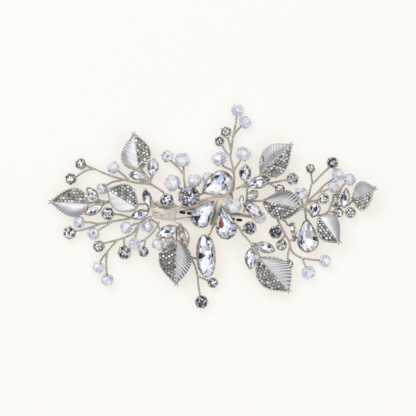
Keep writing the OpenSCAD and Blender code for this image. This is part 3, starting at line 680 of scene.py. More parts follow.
def binding_finish():
    finish = Finish("binding wire", metallic=0.2, roughness=0.42)
    grain = finish.mix(finish.noise(1200, 3), rgba((0.8, 0.8, 0.8)), rgba((1.2, 1.2, 1.2)))
    finish.feed("Base Color", finish.toned(grain))
    return finish.material


def plate_finish(name, inner_shade):
    """Steel brushed along the clip, with a painted highlight that grows towards its right end. A piece that
    lies under the plate gets painted shade where it faces up.
    """
    finish = Finish(name, metallic=0.85, roughness=0.32)
    brushed = finish.noise(1.0, 4, finish.place((160, 5200, 160), -CLIP_TURN))
    colour = tuple(looks().silver_colour)
    steel = finish.mix(brushed, rgba(colour, 0.74), rgba(colour, 1.16))
    # Painted highlight: the steel is painted brighter and warmer from 5 mm to 15 mm right of the origin
    across = finish.part(finish.place(), 0)
    gleam = finish.ramp(across * 40, (0.2, (1.0, 0.95, 0.875)), (0.6, (1.34, 1.24, 1.13)))
    steel = finish.mix(1.0, steel, gleam, "MULTIPLY")
    # Painted shade: faces that face up are darkened by inner_shade
    facing = finish.part(finish.node("ShaderNodeNewGeometry", {}, {}, "Normal"), 2)
    shade = finish.mix(facing.above(0.9), rgba((1, 1, 1)), rgba((inner_shade,) * 3))
    finish.feed("Base Color", finish.mix(1.0, steel, shade, "MULTIPLY"))
    finish.feed("Roughness", 0.24 + brushed * 0.22)
    finish.bump(brushed, 0.12, 0.00005)
    return finish.material


def leaf_finish():
    """Cast metal: bright where it is rubbed, and as dark or light as its faces are painted, which holds
    painted shade and painted highlights.
    """
    finish = Finish("leaf metal", metallic=0.4, roughness=0.3)
    worn = finish.noise(700, 4)
    shade = finish.mix(worn, rgba((0.82, 0.81, 0.80)), rgba((1.12, 1.12, 1.13)))
    finish.feed("Base Color", finish.toned(shade))
    finish.feed("Roughness", 0.22 + worn * 0.2)
    finish.bump(finish.noise(2600, 2), 0.15, 0.00004)
    return finish.material


def setting_finish():
    finish = Finish("setting metal", metallic=0.85, roughness=0.22)
    tarnish = finish.noise(520, 3)
    finish.feed("Base Color", finish.ramp(
        tarnish, (0.36, (0.22, 0.20, 0.175)), (0.5, (0.52, 0.49, 0.46)), (0.68, (0.84, 0.83, 0.81))))
    return finish.material


def stone_finish():
    """Foiled glass whose faces carry painted reflections: each face has its own tone, broken by the facets
    that show through it, and the lightest tones get a painted glow.
    """
    finish = Finish("cut stone", metallic=0.18, roughness=0.05, coat_weight=1.0, coat_roughness=0.02,
                    emission_strength=0.16)
    cells = finish.node("ShaderNodeTexVoronoi", {"feature": "F1", "voronoi_dimensions": "3D"},
                        {"Scale": 780.0, "Randomness": 0.9, "Vector": finish.place()}, "Color")
    level = finish.node("ShaderNodeSeparateColor", {}, {"Color": cells}, 0)
    shade = finish.ramp(
        level, (0.0, (0.80, 0.81, 0.84)), (0.35, (0.94, 0.94, 0.97)), (0.8, (1.08, 1.08, 1.08)))
    body = finish.toned(shade)
    finish.feed("Base Color", body)
    # Painted glow: the emission grows steeply with the tone, so the white facets glow a little
    bright = finish.mix(1.0, body, body, "MULTIPLY")
    finish.feed("Emission Color", finish.mix(1.0, bright, bright, "MULTIPLY"))
    return finish.material


def pave_finish():
    finish = Finish("small stones", metallic=0.3, roughness=0.1, coat_weight=0.8, coat_roughness=0.05)
    # Painted sparkle: a noise that leaves some of the small stones at full tone and dims the rest
    spark = finish.noise(1900, 2)
    shade = finish.ramp(spark, (0.35, (0.52, 0.50, 0.48)), (0.6, (1.0, 1.0, 1.0)))
    finish.feed("Base Color", finish.toned(shade))
    return finish.material


def bead_finish():
    """Pale glass with a soft inner glow and a lavender body."""
    finish = Finish("cut bead glass", roughness=0.1, coat_weight=1.0, coat_roughness=0.02,
                    transmission_weight=0.15, ior=1.5)
    cloud = finish.noise(420, 2)
    shade = finish.mix(cloud, rgba((0.93, 0.93, 0.96)), rgba((1.06, 1.06, 1.05)))
    finish.feed("Base Color", finish.toned(shade))
    return finish.material


def floor_finish():
    """Paper with a painted glow, warmer than the light on it, so that the shadows stay faint and creamy."""
    lit = (0.27, 0.335, 0.37)
    glow = [c - part * FLOOR_LIGHT for c, part in zip(looks().floor_colour, lit)]
    finish = Finish("pale floor", roughness=0.85, emission_color=(*glow, 1.0), emission_strength=1.0)
    finish.feed("Base Color", finish.mix(finish.noise(6, 1), rgba(lit, 0.985), rgba(lit, 1.015)))
    return finish.material


# Wires


def smooth_route(points, step=0.3):
    """Points every step or so along a smooth line through the given ones."""
    knots = [Vector(p) for p in points]
    ends = [knots[0] * 2 - knots[1]] + knots + [knots[-1] * 2 - knots[-2]]
    line = [knots[0]]
    for a, b, c, d in zip(ends, ends[1:], ends[2:], ends[3:]):
        count = max(2, round((c - b).length / step))
        ta, td = (c - a) / 2, (d - b) / 2
        limit = (c - b).length
        ta = ta.normalized() * min(ta.length, limit) if ta.length else ta
        td = td.normalized() * min(td.length, limit) if td.length else td
        for i in range(1, count + 1):
            t = i / count
            line.append(b * (2 * t ** 3 - 3 * t ** 2 + 1) + ta * (t ** 3 - 2 * t ** 2 + t)
                        + c * (3 * t ** 2 - 2 * t ** 3) + td * (t ** 3 - t ** 2))
    return line


def helix_round(line, radius, pitch, phase):
    """A line that winds round another one."""
    out = []
    side = None
    run = 0.0
    for i, point in enumerate(line):
        ahead = line[min(i + 1, len(line) - 1)] - line[max(i - 1, 0)]
        ahead.normalize()
        if side is None:
            side = Vector((-ahead.y, ahead.x, 0)).normalized() if abs(ahead.z) < 0.99 else Vector((1, 0, 0))
        side = (side - ahead * side.dot(ahead)).normalized()
        if i:
            run += (point - line[i - 1]).length
        a = phase + 2 * math.pi * run / pitch
        out.append(point + radius * (math.cos(a) * side + math.sin(a) * ahead.cross(side)))
    return out


def drawn_wires(lines, diameter, name, cyclic=False):
    """Round wires along lines of points in millimetres, as one mesh in metres."""
    clear_selection()
    bpy.ops.curve.primitive_nurbs_path_add()
    wire = bpy.context.object
    shape = wire.data
    shape.splines.clear()
    for line in lines:
        spline = shape.splines.new("POLY")
        spline.points.add(len(line) - 1)
        for knot, point in zip(spline.points, line):
            knot.co = (*(Vector(point) * MM), 1.0)
        spline.use_cyclic_u = cyclic
    shape.dimensions = "3D"
    shape.bevel_depth = diameter / 2
    shape.bevel_resolution = 1
    shape.use_fill_caps = True
    pick(wire)
    bpy.ops.object.convert(target="MESH")
    wire = bpy.context.object
    wire.name = name
    wire.data.name = name
    bpy.ops.object.shade_smooth()
    return wire


def route_points(route, bead):
    """A stem's points, with the last ones just before and inside the bead that it ends in."""
    points = [lifted(q) for q in route]
    if bead is not None:
        row = BEADS[bead]
        heading = Vector((*around(1, math.radians(row[4])), 0))
        points.append(lifted(row) - heading * (row[3] / 2 + 0.5))
        points.append(lifted(row) + heading * row[3] * 0.25)
    return points


# Coils of fine wire round the stems where branches meet: places as pixels of the photograph, then the coil's
# radius in millimetres
COILS = {
    "stem_upper_left": [((140, 180.2), (146, 181.4), (151.6, 182.8), 0.62),
                        ((147.6, 181.6), (151, 178.6), (152.6, 175), 0.5)],
    "stem_right": [((241.2, 187.4), (245.4, 185), (247.8, 182.6), 0.6),
                   ((243.4, 201), (243.4, 197.4), (241.4, 195.8), (239.8, 198.6), (239.2, 202.6), 0.12)],
    "stem_left": [((97, 202.6), (102, 201.6), (108, 201.8), 0.5)],
    "stem_lower_right": [((291.4, 226), (293.6, 229.6), (296, 234), 0.6)],
    "stem_lower_middle": [((251, 244.4), (255, 246), (259, 249.4), 0.5)],
}


def anchor_points():
    """Places on the walls of the settings and at the leaves' bases, where a stem can be fixed."""
    spots = []
    outlines = [(round_place(row), round_outline(row[3], 24)) for row in ROUNDS]
    outlines += [(navette_place(row), navette_outline(row[3], row[4], 36)) for row in NAVETTES]
    outlines += [(drop_place(row), drop_outline(row[3], row[4], 29)) for row in PEARS]
    outlines.append((oval_place(), oval_outline(OVAL[3], OVAL[4], 44)))
    height = -0.8
    for place, outline in outlines:
        spots += [place @ Vector((x, y, height)) for x, y in outline]
    return spots + [leaf_place(row) @ Vector((0.2, 0, -0.2)) for row in LEAVES]


def fixed_end(points, anchors):
    """The stem's points, led on to the nearest place where it can be fixed if one is close to its end."""
    nearest = min(anchors, key=lambda spot: (spot - points[-1]).length)
    gap = (nearest - points[-1]).length
    touching, close = 0.1, 2.4
    return points + [nearest] if touching < gap < close else points


def tone_twist(piece, axes, chance):
    """Painted light where a strand comes to the top of the twist and painted shade where it dips under the
    other; faces that look up are painted lighter too.
    """
    tree = kdtree.KDTree(len(axes))
    for i, point in enumerate(axes):
        tree.insert(point * MM, i)
    tree.balance()
    base, strand = looks().wire_colour, looks().strand_d
    drift = [chance.uniform(0.86, 1.12) for _ in range(len(axes) // 8 + 1)]

    def chosen(centre, normal, number):
        axis, nearest, _ = tree.find(centre)
        height = (centre.z - axis.z) / strand - normal.z / 2
        level = max(0.34, min(1.5, 0.8 + 1.15 * height + 0.24 * normal.z)) * drift[nearest // 8]
        return levelled(base, level, 0.95)

    paint(piece, chosen)


class HAIRCLIP_OT_stems(bpy.types.Operator):
    """Make the stems, each a twisted pair of fine wires"""
    bl_idname = "hair_clip.stems"
    bl_label = "Twisted stems"

    def execute(self, context):
        finish = wire_finish()
        strand = looks().strand_d
        pitch = looks().twist / MM
        anchors = anchor_points()
        chance = random.Random(11)
        for node, routes in STEMS.items():
            lines, axes = [], []
            for bead, route in routes:
                points = route_points(route, bead)
                line = smooth_route(points if bead is not None else fixed_end(points, anchors))
                axes += line
                lines += [helix_round(line, strand / MM * 0.48, pitch, phase) for phase in (0, math.pi)]
            for *corners, radius in COILS.get(node, ()):
                places = [from_photo(x, y) for x, y in corners]
                line = smooth_route([(p.x, p.y, arch(p.x, p.y)) for p in places], 0.06)
                axes += line
                lines.append(helix_round(line, radius, 0.62, 0))
            piece = drawn_wires(lines, strand, "twisted_" + node)
            tone_twist(piece, axes, chance)
            wear(piece, finish)
            hand_over(piece, "stem_wire", node)
        return {"FINISHED"}


# Clip


def on_clip():
    """From the clip's own axes to the frame's."""
    return Matrix.Rotation(CLIP_TURN, 4, "Z")


# Wires that gather at the middle: x and y as pixels of the photograph, and z in millimetres
GATHERED = [
    [(157, 213.4, 7.5), (170, 209.8, 7.6), (183, 207.6, 7.3), (197, 204.6, 7.2), (208, 199.6, 7.1),
     (221, 197.6, 7.0), (229, 195.4, 6.7), (232.6, 190, 6.2)],
    [(156.6, 215, 7.3), (172, 211.2, 7.5), (185, 209.2, 7.3), (198, 206.6, 7.1), (207, 201.2, 7.0),
     (219, 198.9, 7.1), (227, 197.7, 6.9), (231.2, 192.4, 6.4)],
    [(160, 211.2, 7.6), (174, 207.8, 7.5), (187, 205.4, 7.5), (199, 202.2, 7.3), (210, 198.2, 7.2),
     (222, 196.4, 7.0), (230, 192.8, 6.4), (233.6, 185, 5.9)],
    [(176, 205, 7.2), (183, 206.2, 7.4), (192, 206.6, 7.4), (201, 203.6, 7.3), (213, 199.6, 7.1),
     (224, 198.6, 7.1), (228.6, 200.6, 6.9)],
    [(176, 209.4, 6.9), (188, 208.4, 7.1), (196, 207.9, 7.0), (203, 204, 6.9), (212, 200.9, 6.9),
     (220, 200.2, 7.0)],
    [(226, 198.4, 7.0), (221.2, 201, 7.2), (218.8, 206, 7.1), (217.8, 212, 6.9), (216.8, 218, 6.6),
     (215.1, 223.2, 6.5)],
    [(223.4, 198, 7.1), (218.8, 200.6, 7.1), (216.8, 206, 7.0), (216.4, 213, 6.8), (214.4, 220, 6.2),
     (212.6, 227, 6.4)],
    [(220.4, 199, 7.0), (216.6, 202, 7.0), (215.4, 208, 6.9), (215, 213, 6.8), (213.2, 219, 6.0),
     (211, 225.6, 6.0)],
    [(224.4, 199.4, 7.2), (220.2, 203, 7.2), (219.4, 209, 7.0), (218.8, 216, 6.6), (217.4, 222, 6.4)],
    [(232.6, 191, 6.3), (229.8, 196.4, 6.8), (226.8, 202, 6.9), (224.8, 207, 6.9), (224.6, 212, 6.8)],
    [(231.2, 194, 6.5), (227.2, 199, 6.9), (222.8, 203, 7.2), (220.8, 207, 7.2)],
    [(236.6, 188.8, 6.1), (233.4, 191.4, 6.3), (230, 196, 6.8), (225.6, 199, 7.0)],
    [(148.7, 209.6, 6.2), (153, 208.9, 6.6), (158, 210.6, 7.4), (164, 211, 7.6), (171, 210.2, 7.5)],
    [(146.4, 218.6, 5.9), (152.9, 215.8, 6.4), (157, 213.8, 7.2), (162, 212.4, 7.5), (169, 211.6, 7.4)],
    [(158.9, 222.4, 6.3), (160.2, 218, 6.6), (161.2, 213.6, 7.2), (166, 211.6, 7.5)],
    [(150.4, 203.4, 6.0), (155, 206.6, 7.0), (160, 209.6, 7.6), (167, 210.4, 7.6)],
    [(180.9, 224, 6.3), (176.4, 222.8, 6.2), (173.5, 220, 6.2), (173.1, 215.6, 6.6), (174.6, 211, 7.3)],
    [(151.6, 206.4, 6.4), (153.8, 211, 6.8), (153, 215, 6.6), (149.6, 217.4, 6.2)],
    [(150, 207.6, 7.0), (156, 208.6, 7.5), (163, 209.8, 7.7)],
    [(149.6, 209.4, 7.0), (156, 210, 7.5), (164, 210.8, 7.7)],
    [(150.4, 211.2, 7.0), (157, 211.2, 7.5), (165, 211.6, 7.7)],
    [(151, 205.8, 6.9), (157, 207.4, 7.4), (164, 209, 7.6)],
    [(174.2, 219, PLATE_TOP + 0.35), (183, 217.9, PLATE_TOP + 0.3), (192.6, 216.6, PLATE_TOP + 0.3)],
    [(174.2, 214.2, PLATE_TOP + 0.6), (175, 217, PLATE_TOP + 0.35), (174.6, 221, PLATE_TOP + 0.3)],
    [(166, 211, 7.7), (178, 207.4, 7.6), (188, 204.2, 7.6), (199, 200.6, 7.4), (208, 197.6, 7.3),
     (219, 195.4, 7.1), (228, 191.8, 6.5)],
    [(178, 210.4, 6.6), (188, 209.8, 6.8), (195, 208.6, 6.8)],
    [(150.4, 199.4, 6.5), (154, 202, 6.9), (160, 205.4, 7.5), (168, 207.2, 7.7), (177, 206.6, 7.5)],
    [(149.8, 201.6, 6.6), (154.6, 204.2, 7.1), (161, 206.8, 7.6), (171, 208.2, 7.7)],
    [(155.4, 200.6, 6.6), (159, 203.6, 7.2), (165, 205.8, 7.6), (173, 206.2, 7.6)],
]


TURN_POINTS = 28


def wound_line(x0, x1, step, out, chance):
    """One wire wound round the plate and the bundle from x0 to x1. What lies over others has a larger out."""
    y1 = PLATE_W / 2 + 0.4 + out * 0.5
    z0 = PLATE_TOP - SHEET_T - 0.4 - out * 0.5
    z1 = PLATE_TOP + BUNDLE_D + 0.55 + out * 0.5
    corners = [(-y1, z0), (y1, z0), (y1, z1 - 0.9), (y1 - 0.5, z1), (1.6, z1), (0.9, z1 - 0.4),
               (-3.2, PLATE_TOP + 0.5), (-y1, PLATE_TOP + 0.1), (-y1, z0)]
    lengths = [math.dist(a, b) for a, b in zip(corners, corners[1:])]
    turns = round((x1 - x0) / step)
    sway = [chance.uniform(-0.12, 0.12) for _ in range(turns + 2)]
    line = []
    for i in range(turns * TURN_POINTS + 1):
        turn, f = i // TURN_POINTS, i % TURN_POINTS / TURN_POINTS
        drift = sway[turn] * (1 - f) + sway[turn + 1] * f
        way = f * sum(lengths)
        for a, b, length in zip(corners, corners[1:], lengths):
            if way <= length:
                break
            way -= length
        f = way / length
        point = Vector((x0 + (x1 - x0) * i / (turns * TURN_POINTS) + drift, a[0] + (b[0] - a[0]) * f,
                        a[1] + (b[1] - a[1]) * f))
        line.append(on_clip() @ point)
    return line


class HAIRCLIP_OT_clip(bpy.types.Operator):
    """Finish the slotted plate and its jaw, and wind the wires that bind the spray to it"""
    bl_idname = "hair_clip.clip"
    bl_label = "Clip and windings"

    def execute(self, context):
        wear(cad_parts["clip_plate"], plate_finish("clip steel", 1.0))
        # The jaw lies under the plate, so its upward faces get painted shade
        wear(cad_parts["clip_jaw"], plate_finish("jaw steel", 0.06))
        beige = binding_finish()
        wire = looks().winding_d
        for node, x0, x1 in WINDINGS:
            chance = random.Random(len(node))
            lines = [wound_line(x0, x1, wire / MM * 1.04, 0.0, chance),
                     wound_line(x0 + 0.5, x1 - 0.3, 1.7, 0.34, chance)]
            piece = drawn_wires(lines, wire, "wound_" + node)
            self.tone_wires(piece, chance, (1.12, 1.05, 1.01))
            wear(piece, beige)
            hand_over(piece, "binding_wire", node)
        middle = PLATE_TOP + 0.15 + BUNDLE_D / 2
        count = 110
        axis = [on_clip() @ Vector((BUNDLE_START + BUNDLE_LENGTH * i / count, BUNDLE_Y, middle))
                for i in range(count + 1)]
        lines = [axis] + [helix_round(axis, 0.6, 38, i * math.pi / 3) for i in range(6)]
        lines += [smooth_route([(*from_photo(x, y), z) for x, y, z in line], 0.5) for line in GATHERED]
        chance = random.Random(3)
        strands = []
        for line in lines:
            strand = drawn_wires([line], 0.52 * MM, "strand")
            level = chance.choice((0.5, 0.72, 0.95, 1.08, 1.2, 1.35))
            self.tone_wires(strand, chance, (0.76 * level, 0.66 * level, 0.57 * level))
            strands.append(strand)
        piece = joined(strands, "bundle_of_wires")
        wear(piece, beige)
        hand_over(piece, "binding_wire", "core_bundle")
        return {"FINISHED"}

    def tone_wires(self, piece, chance, base):
        """Champagne wire that is lighter on some stretches than on others."""
        stretches = 997
        levels = [chance.uniform(0.74, 1.22) for _ in range(stretches)]

        # Stretches of about 0.4 mm along the clip and 0.8 mm across it, in a mixed order
        def chosen(centre, normal, number):
            along = int((centre.x * 0.991 - centre.y * 0.13) / MM * 2.3 + 400)
            level = levels[(along * 7 + int(centre.y / MM * 1.3 + 50) * 31) % stretches]
            # Painted light: right of 2 mm the wires lie in the shade of the big settings and are painted
            # lighter to make up for it
            if centre.x > 0.002:
                level = min(level * (1.35 if max(base) < 0.6 else 2.4), 1.03 / max(base))
            return levelled(base, level, 0.95)

        paint(piece, chosen)


# Beads


def cut_bead():
    """One cut bead along Z, a little fuller than diameter 2, flattened where its bore comes out."""
    fullness, squash, end = 1.115, 0.97, 0.88
    clear_selection()
    bpy.ops.mesh.primitive_uv_sphere_add(segments=6, ring_count=5, radius=fullness)
    bead = bpy.context.object
    levels = {}
    for vertex in bead.data.vertices:
        levels.setdefault(round(vertex.co.z, 3), []).append(vertex)
    for i, z in enumerate(sorted(levels)):
        for vertex in levels[z]:
            flat = Vector((vertex.co.x, vertex.co.y, 0))
            if flat.length > 0.01 and i % 2:
                flat = Matrix.Rotation(math.pi / 6, 3, "Z") @ flat
            vertex.co = Vector((flat.x, flat.y, max(-end, min(end, vertex.co.z * squash))))
    pick(bead)
    bpy.ops.object.mode_set(mode="EDIT")
    bpy.ops.mesh.select_all(action="SELECT")
    bpy.ops.mesh.quads_convert_to_tris(quad_method="SHORTEST_DIAGONAL")
    bpy.ops.mesh.bevel(offset=0.045, segments=1, affect="EDGES")
    done_editing()
    return bead


# Faces of a cut bead, without the fine ones along their edges, and how bright they may be painted, as painted
# reflections
MAIN_FACES = 42
FACE_LEVELS = (0.74, 0.88, 0.96, 1.02, 1.02, 1.08, 1.16)
# Share of the faces with a dark painted reflection, and share of the fine edge faces with a painted
# highlight; the other fine ones are dark lines
DARK_SHARE = 0.035
BRIGHT_SHARE = 0.62
# Beads made lighter, because their neighbours shade them, and one that is darker
BEAD_LEVELS = {9: 1.16, 10: 1.3, 13: 1.14, 14: 1.12, 15: 1.08, 19: 0.88, 20: 1.12, 21: 1.25, 22: 1.08}


class HAIRCLIP_OT_beads(bpy.types.Operator):
    """Cut the pale glass beads at the ends of the stems"""
    bl_idname = "hair_clip.beads"
    bl_label = "Cut beads"

    def execute(self, context):
        master = cut_bead()
        faces = master.data.polygons
        # The bevel numbers its faces differently from run to run, so they are taken by their places
        order = sorted(range(len(faces)), key=lambda n: [round(c, 3) for c in faces[n].center])
        smallest = 0.999 * sorted(face.area for face in faces)[-MAIN_FACES]
        edges = {n for n in order if faces[n].area < smallest}
        body = Vector(looks().bead_colour)
        made = []
        for i, row in enumerate(BEADS):
            chance = random.Random(500 + i)
            place = (Matrix.Translation(lifted(row)) @ turn_z(row[4]) @ Matrix.Rotation(math.pi / 2, 4, "Y")
                     @ turn_z(chance.uniform(0, 30)) @ Matrix.Scale(row[3] / 2, 4))
            bead = copy_of(master, in_metres(place))
            levels = {}
            for n in order:
                levels[n] = chance.choice(FACE_LEVELS) * BEAD_LEVELS.get(i, 1.0)
                if chance.random() < DARK_SHARE:
                    levels[n] = 0.3
                if n in edges:
                    levels[n] = 1.22 if chance.random() < BRIGHT_SHARE else 0.46

            def chosen(centre, normal, number):
                level = levels[number]
                # Painted shade on faces that turn sideways
                if normal.z < 0.4:
                    level *= 0.9
                blue = 1.0 + (1.0 - level) * 0.5
                return (min(1, body.x * level), min(1, body.y * level), min(1, body.z * level * blue))

            paint(bead, chosen)
            made.append(bead)
        drop(master)
        piece = joined(made, "cut_beads")
        wear(piece, bead_finish())
        hand_over(piece, "bead_glass", "beads")
        return {"FINISHED"}


# Stones


def outline_block(outline, top, bottom, name):
    """A straight-sided block over an outline given at even angles."""
    n = len(outline)
    clear_selection()
    bpy.ops.mesh.primitive_cylinder_add(vertices=n, radius=1, depth=2, end_fill_type="NGON")
    block = bpy.context.object
    block.name = name
    first = min((v for v in block.data.vertices if v.co.z < 0), key=lambda v: abs(math.atan2(v.co.y, v.co.x)))
    start = math.atan2(first.co.y, first.co.x)
    for vertex in block.data.vertices:
        a = math.atan2(vertex.co.y, vertex.co.x) - start
        point = outline[round(a / (2 * math.pi) * n) % n]
        vertex.co = Vector((point[0], point[1], top if vertex.co.z > 0 else bottom))
    return block


def reach_towards(outline, a):
    return max(x * math.cos(a) + y * math.sin(a) for x, y in outline)


def edge_point(outline, a, z, share=1.0):
    """The point at height z in direction a, at a share of the outline's reach."""
    return Vector((*around(reach_towards(outline, a) * share, a), z))


def slanted(a, tilt, side=1):
    """Normal of a facet in direction a, tilted from level. A side of -1 is the lower one."""
    return Vector((math.sin(tilt) * math.cos(a), math.sin(tilt) * math.sin(a), side * math.cos(tilt)))


def cut_off(point, normal):
    """Cuts what lies beyond a plane off the piece in edit mode."""
    bpy.ops.mesh.select_all(action="SELECT")
    bpy.ops.mesh.bisect(plane_co=point, plane_no=normal, use_fill=True, clear_outer=True)


def cut_stone(outline, width, name, mains=8):
    """Cuts a stone plane by plane: mains and girdle facets, stars, a pavilion and the lines on the table."""
    crown = crown_height(width)
    depth = pavilion_depth(width)
    slope = math.atan2(crown, 0.44 * width / 2)
    stone = outline_block(outline, crown, -depth, name)
    under = math.atan2(depth, width / 2 * 0.9)
    edit(stone)
    step = 2 * math.pi / mains
    halfway = [(i + 0.5) * step for i in range(mains)]
    for i in range(mains):
        for share, lean, z in ((0, 0, 0.0), (0.25, 0.16, -0.02 * width), (0.75, 0.16, -0.02 * width)):
            a = (i + share) * step
            cut_off(edge_point(outline, a, z), slanted(a, slope + lean))
    for a in halfway:
        cut_off(edge_point(outline, a, crown * 0.98, 0.60), slanted(a, slope * 0.52))
    for a in halfway:
        cut_off(edge_point(outline, a, -0.05 * width), slanted(a, under, -1))
    for a in halfway:
        select_faces(stone, lambda centre, normal: normal.z > 0.999)
        bpy.ops.mesh.bisect(plane_co=edge_point(outline, a, 0, 0.27), plane_no=(*around(1, a), 0))
    done_editing()
    return stone


# A face is on a stone's upper side where its normal's z is above the first, and under it below the second
UPPER = 0.15
LOWER = -0.1


def patched(stone, facets):
    """Cuts each patch of a stone's pattern into its upper faces and gives it its tone, a painted reflection.
    """
    for tone, *numbers in facets:
        corners = [from_photo(x, y) * MM for x, y in zip(numbers[::2], numbers[1::2])]
        low = Vector((min(c.x for c in corners), min(c.y for c in corners)))
        high = Vector((max(c.x for c in corners), max(c.y for c in corners)))
        edit(stone)
        for start, end in zip(corners, corners[1:] + corners[:1]):
            along = end - start
            bpy.ops.object.mode_set(mode="OBJECT")
            mesh = stone.data
            for face in mesh.polygons:
                xs, ys, _ = zip(*(mesh.vertices[v].co for v in face.vertices))
                face.select = (face.normal.z > UPPER and min(xs) < high.x and max(xs) > low.x
                               and min(ys) < high.y and max(ys) > low.y)
            bpy.ops.object.mode_set(mode="EDIT")
            bpy.ops.mesh.bisect(plane_co=(*start, 0), plane_no=(along.y, -along.x, 0), threshold=1e-7)
        done_editing()
        shades = stone.data.color_attributes["tone"]
        for face in stone.data.polygons:
            if face.normal.z > UPPER and within(face.center, corners):
                for corner in face.loop_indices:
                    shades.data[corner].color = (*COLOURS[tone], 1.0)


def within(point, corners):
    """Whether a point seen from above lies inside a ring of corners."""
    crossings = 0
    for a, b in zip(corners, corners[1:] + corners[:1]):
        astride = (a.y > point.y) != (b.y > point.y)
        if astride and point.x < a.x + (b.x - a.x) * (point.y - a.y) / (b.y - a.y):
            crossings += 1
    return crossings % 2 == 1


def tones(**counts):
    """A list of tones to draw from, each as often as its count says."""
    return [tone for tone, count in counts.items() for _ in range(count)]


# Palettes for the facets, whose tones are mostly painted reflections
TONES = tones(white=7, frost=5, mist=4, ice=2, grey=4, slate=2, ink=2)
CLEAR_TONES = tones(white=8, frost=6, mist=4, grey=4, slate=1)
MOSAIC = tones(white=4, frost=4, mist=4, ice=2, grey=4, taupe=1, slate=2, ink=1)
GOLD_TONES = tones(cream=3, tan=2, taupe=3, grey=3, white=2, umber=1)
DUSKY_TONES = tones(white=4, frost=3, mist=3, grey=4, slate=3, ink=3, taupe=1)
BEIGE_TONES = tones(cream=1, white=1, mist=3, grey=3, taupe=1, tan=1)
PEARLY_TONES = tones(white=3, frost=1, cream=1, mist=2, grey=1)
NAVETTE_TONES = {2: DUSKY_TONES, 3: DUSKY_TONES, 4: CLEAR_TONES, 7: GOLD_TONES, 10: BEIGE_TONES,
                 13: DUSKY_TONES, 14: DUSKY_TONES, 15: DUSKY_TONES, 16: BEIGE_TONES, 17: PEARLY_TONES}
STAR_DARKS = tones(ink=5, plum=2, slate=2)
STAR_LIGHTS = tones(white=5, frost=2, mist=2, grey=1)
WARM_DARKS = ["umber", "ink", "taupe", "ink", "umber", "slate"]
PALE_DARKS = tones(ink=2, plum=1, taupe=1, slate=1, grey=1)
# How bright the painted reflections of single cup stones are, and which ones have darker or warmer dark
# painted reflections
CUP_LEVELS = {0: 1.2, 3: 1.15, 4: 1.25, 5: 0.74, 6: 0.85, 7: 0.88, 9: 0.72, 10: 0.78, 11: 0.56, 13: 1.7,
              14: 0.68, 16: 0.95, 17: 1.7, 18: 0.72, 20: 1.7}
DARK_CUPS = (7, 9, 10, 11, 15, 18)
WARM_CUPS = (2, 5, 6, 9)


def from_photo(px, py):
    return Vector(((px - PHOTO_ORIGIN[0]) * PHOTO_MM, (PHOTO_ORIGIN[1] - py) * PHOTO_MM))


def tone_stone(stone, seed, palette, marks):
    """Gives each facet one of the tones of a palette as a painted reflection, and the marked places theirs.
    """
    chance = random.Random(seed)
    spots = [(from_photo(x, y), radius * PHOTO_MM, COLOURS[colour]) for x, y, radius, colour in marks]

    def chosen(centre, normal, number):
        base = COLOURS[chance.choice(palette)]
        if normal.z < LOWER:
            return COLOURS["grey"]
        here = Vector((centre.x / MM, centre.y / MM))
        near = [((here - spot).length - radius, colour) for spot, radius, colour in spots]
        if near and min(near)[0] < 0.1:
            return min(near)[1]
        return base

    paint(stone, chosen)


def tone_star(stone, middle, radius, seed, points, darks, lights, level=1.0):
    """Painted reflections: dark and light arms by turns, as in a brilliant seen from above, with some facets
    swapped.
    """
    chance = random.Random(seed)
    turn = chance.uniform(0, 2 * math.pi)
    bright = level > 0.8
    swapped = 0.16 if bright else 0.5 - 0.4 * level

    def chosen(centre, normal, number):
        if normal.z < LOWER:
            return COLOURS["grey"]
        x, y = centre.x / MM - middle[0], centre.y / MM - middle[1]
        ring = int(math.hypot(x, y) / radius * 4)
        sector = int((math.atan2(y, x) + turn + ring * 0.35) / (2 * math.pi) * points * 2)
        dark = (sector + ring) % 2 == 0
        if chance.random() < swapped and (bright or not dark):
            dark = not dark
        return levelled(COLOURS[chance.choice(darks if dark else lights)], level)

    paint(stone, chosen)


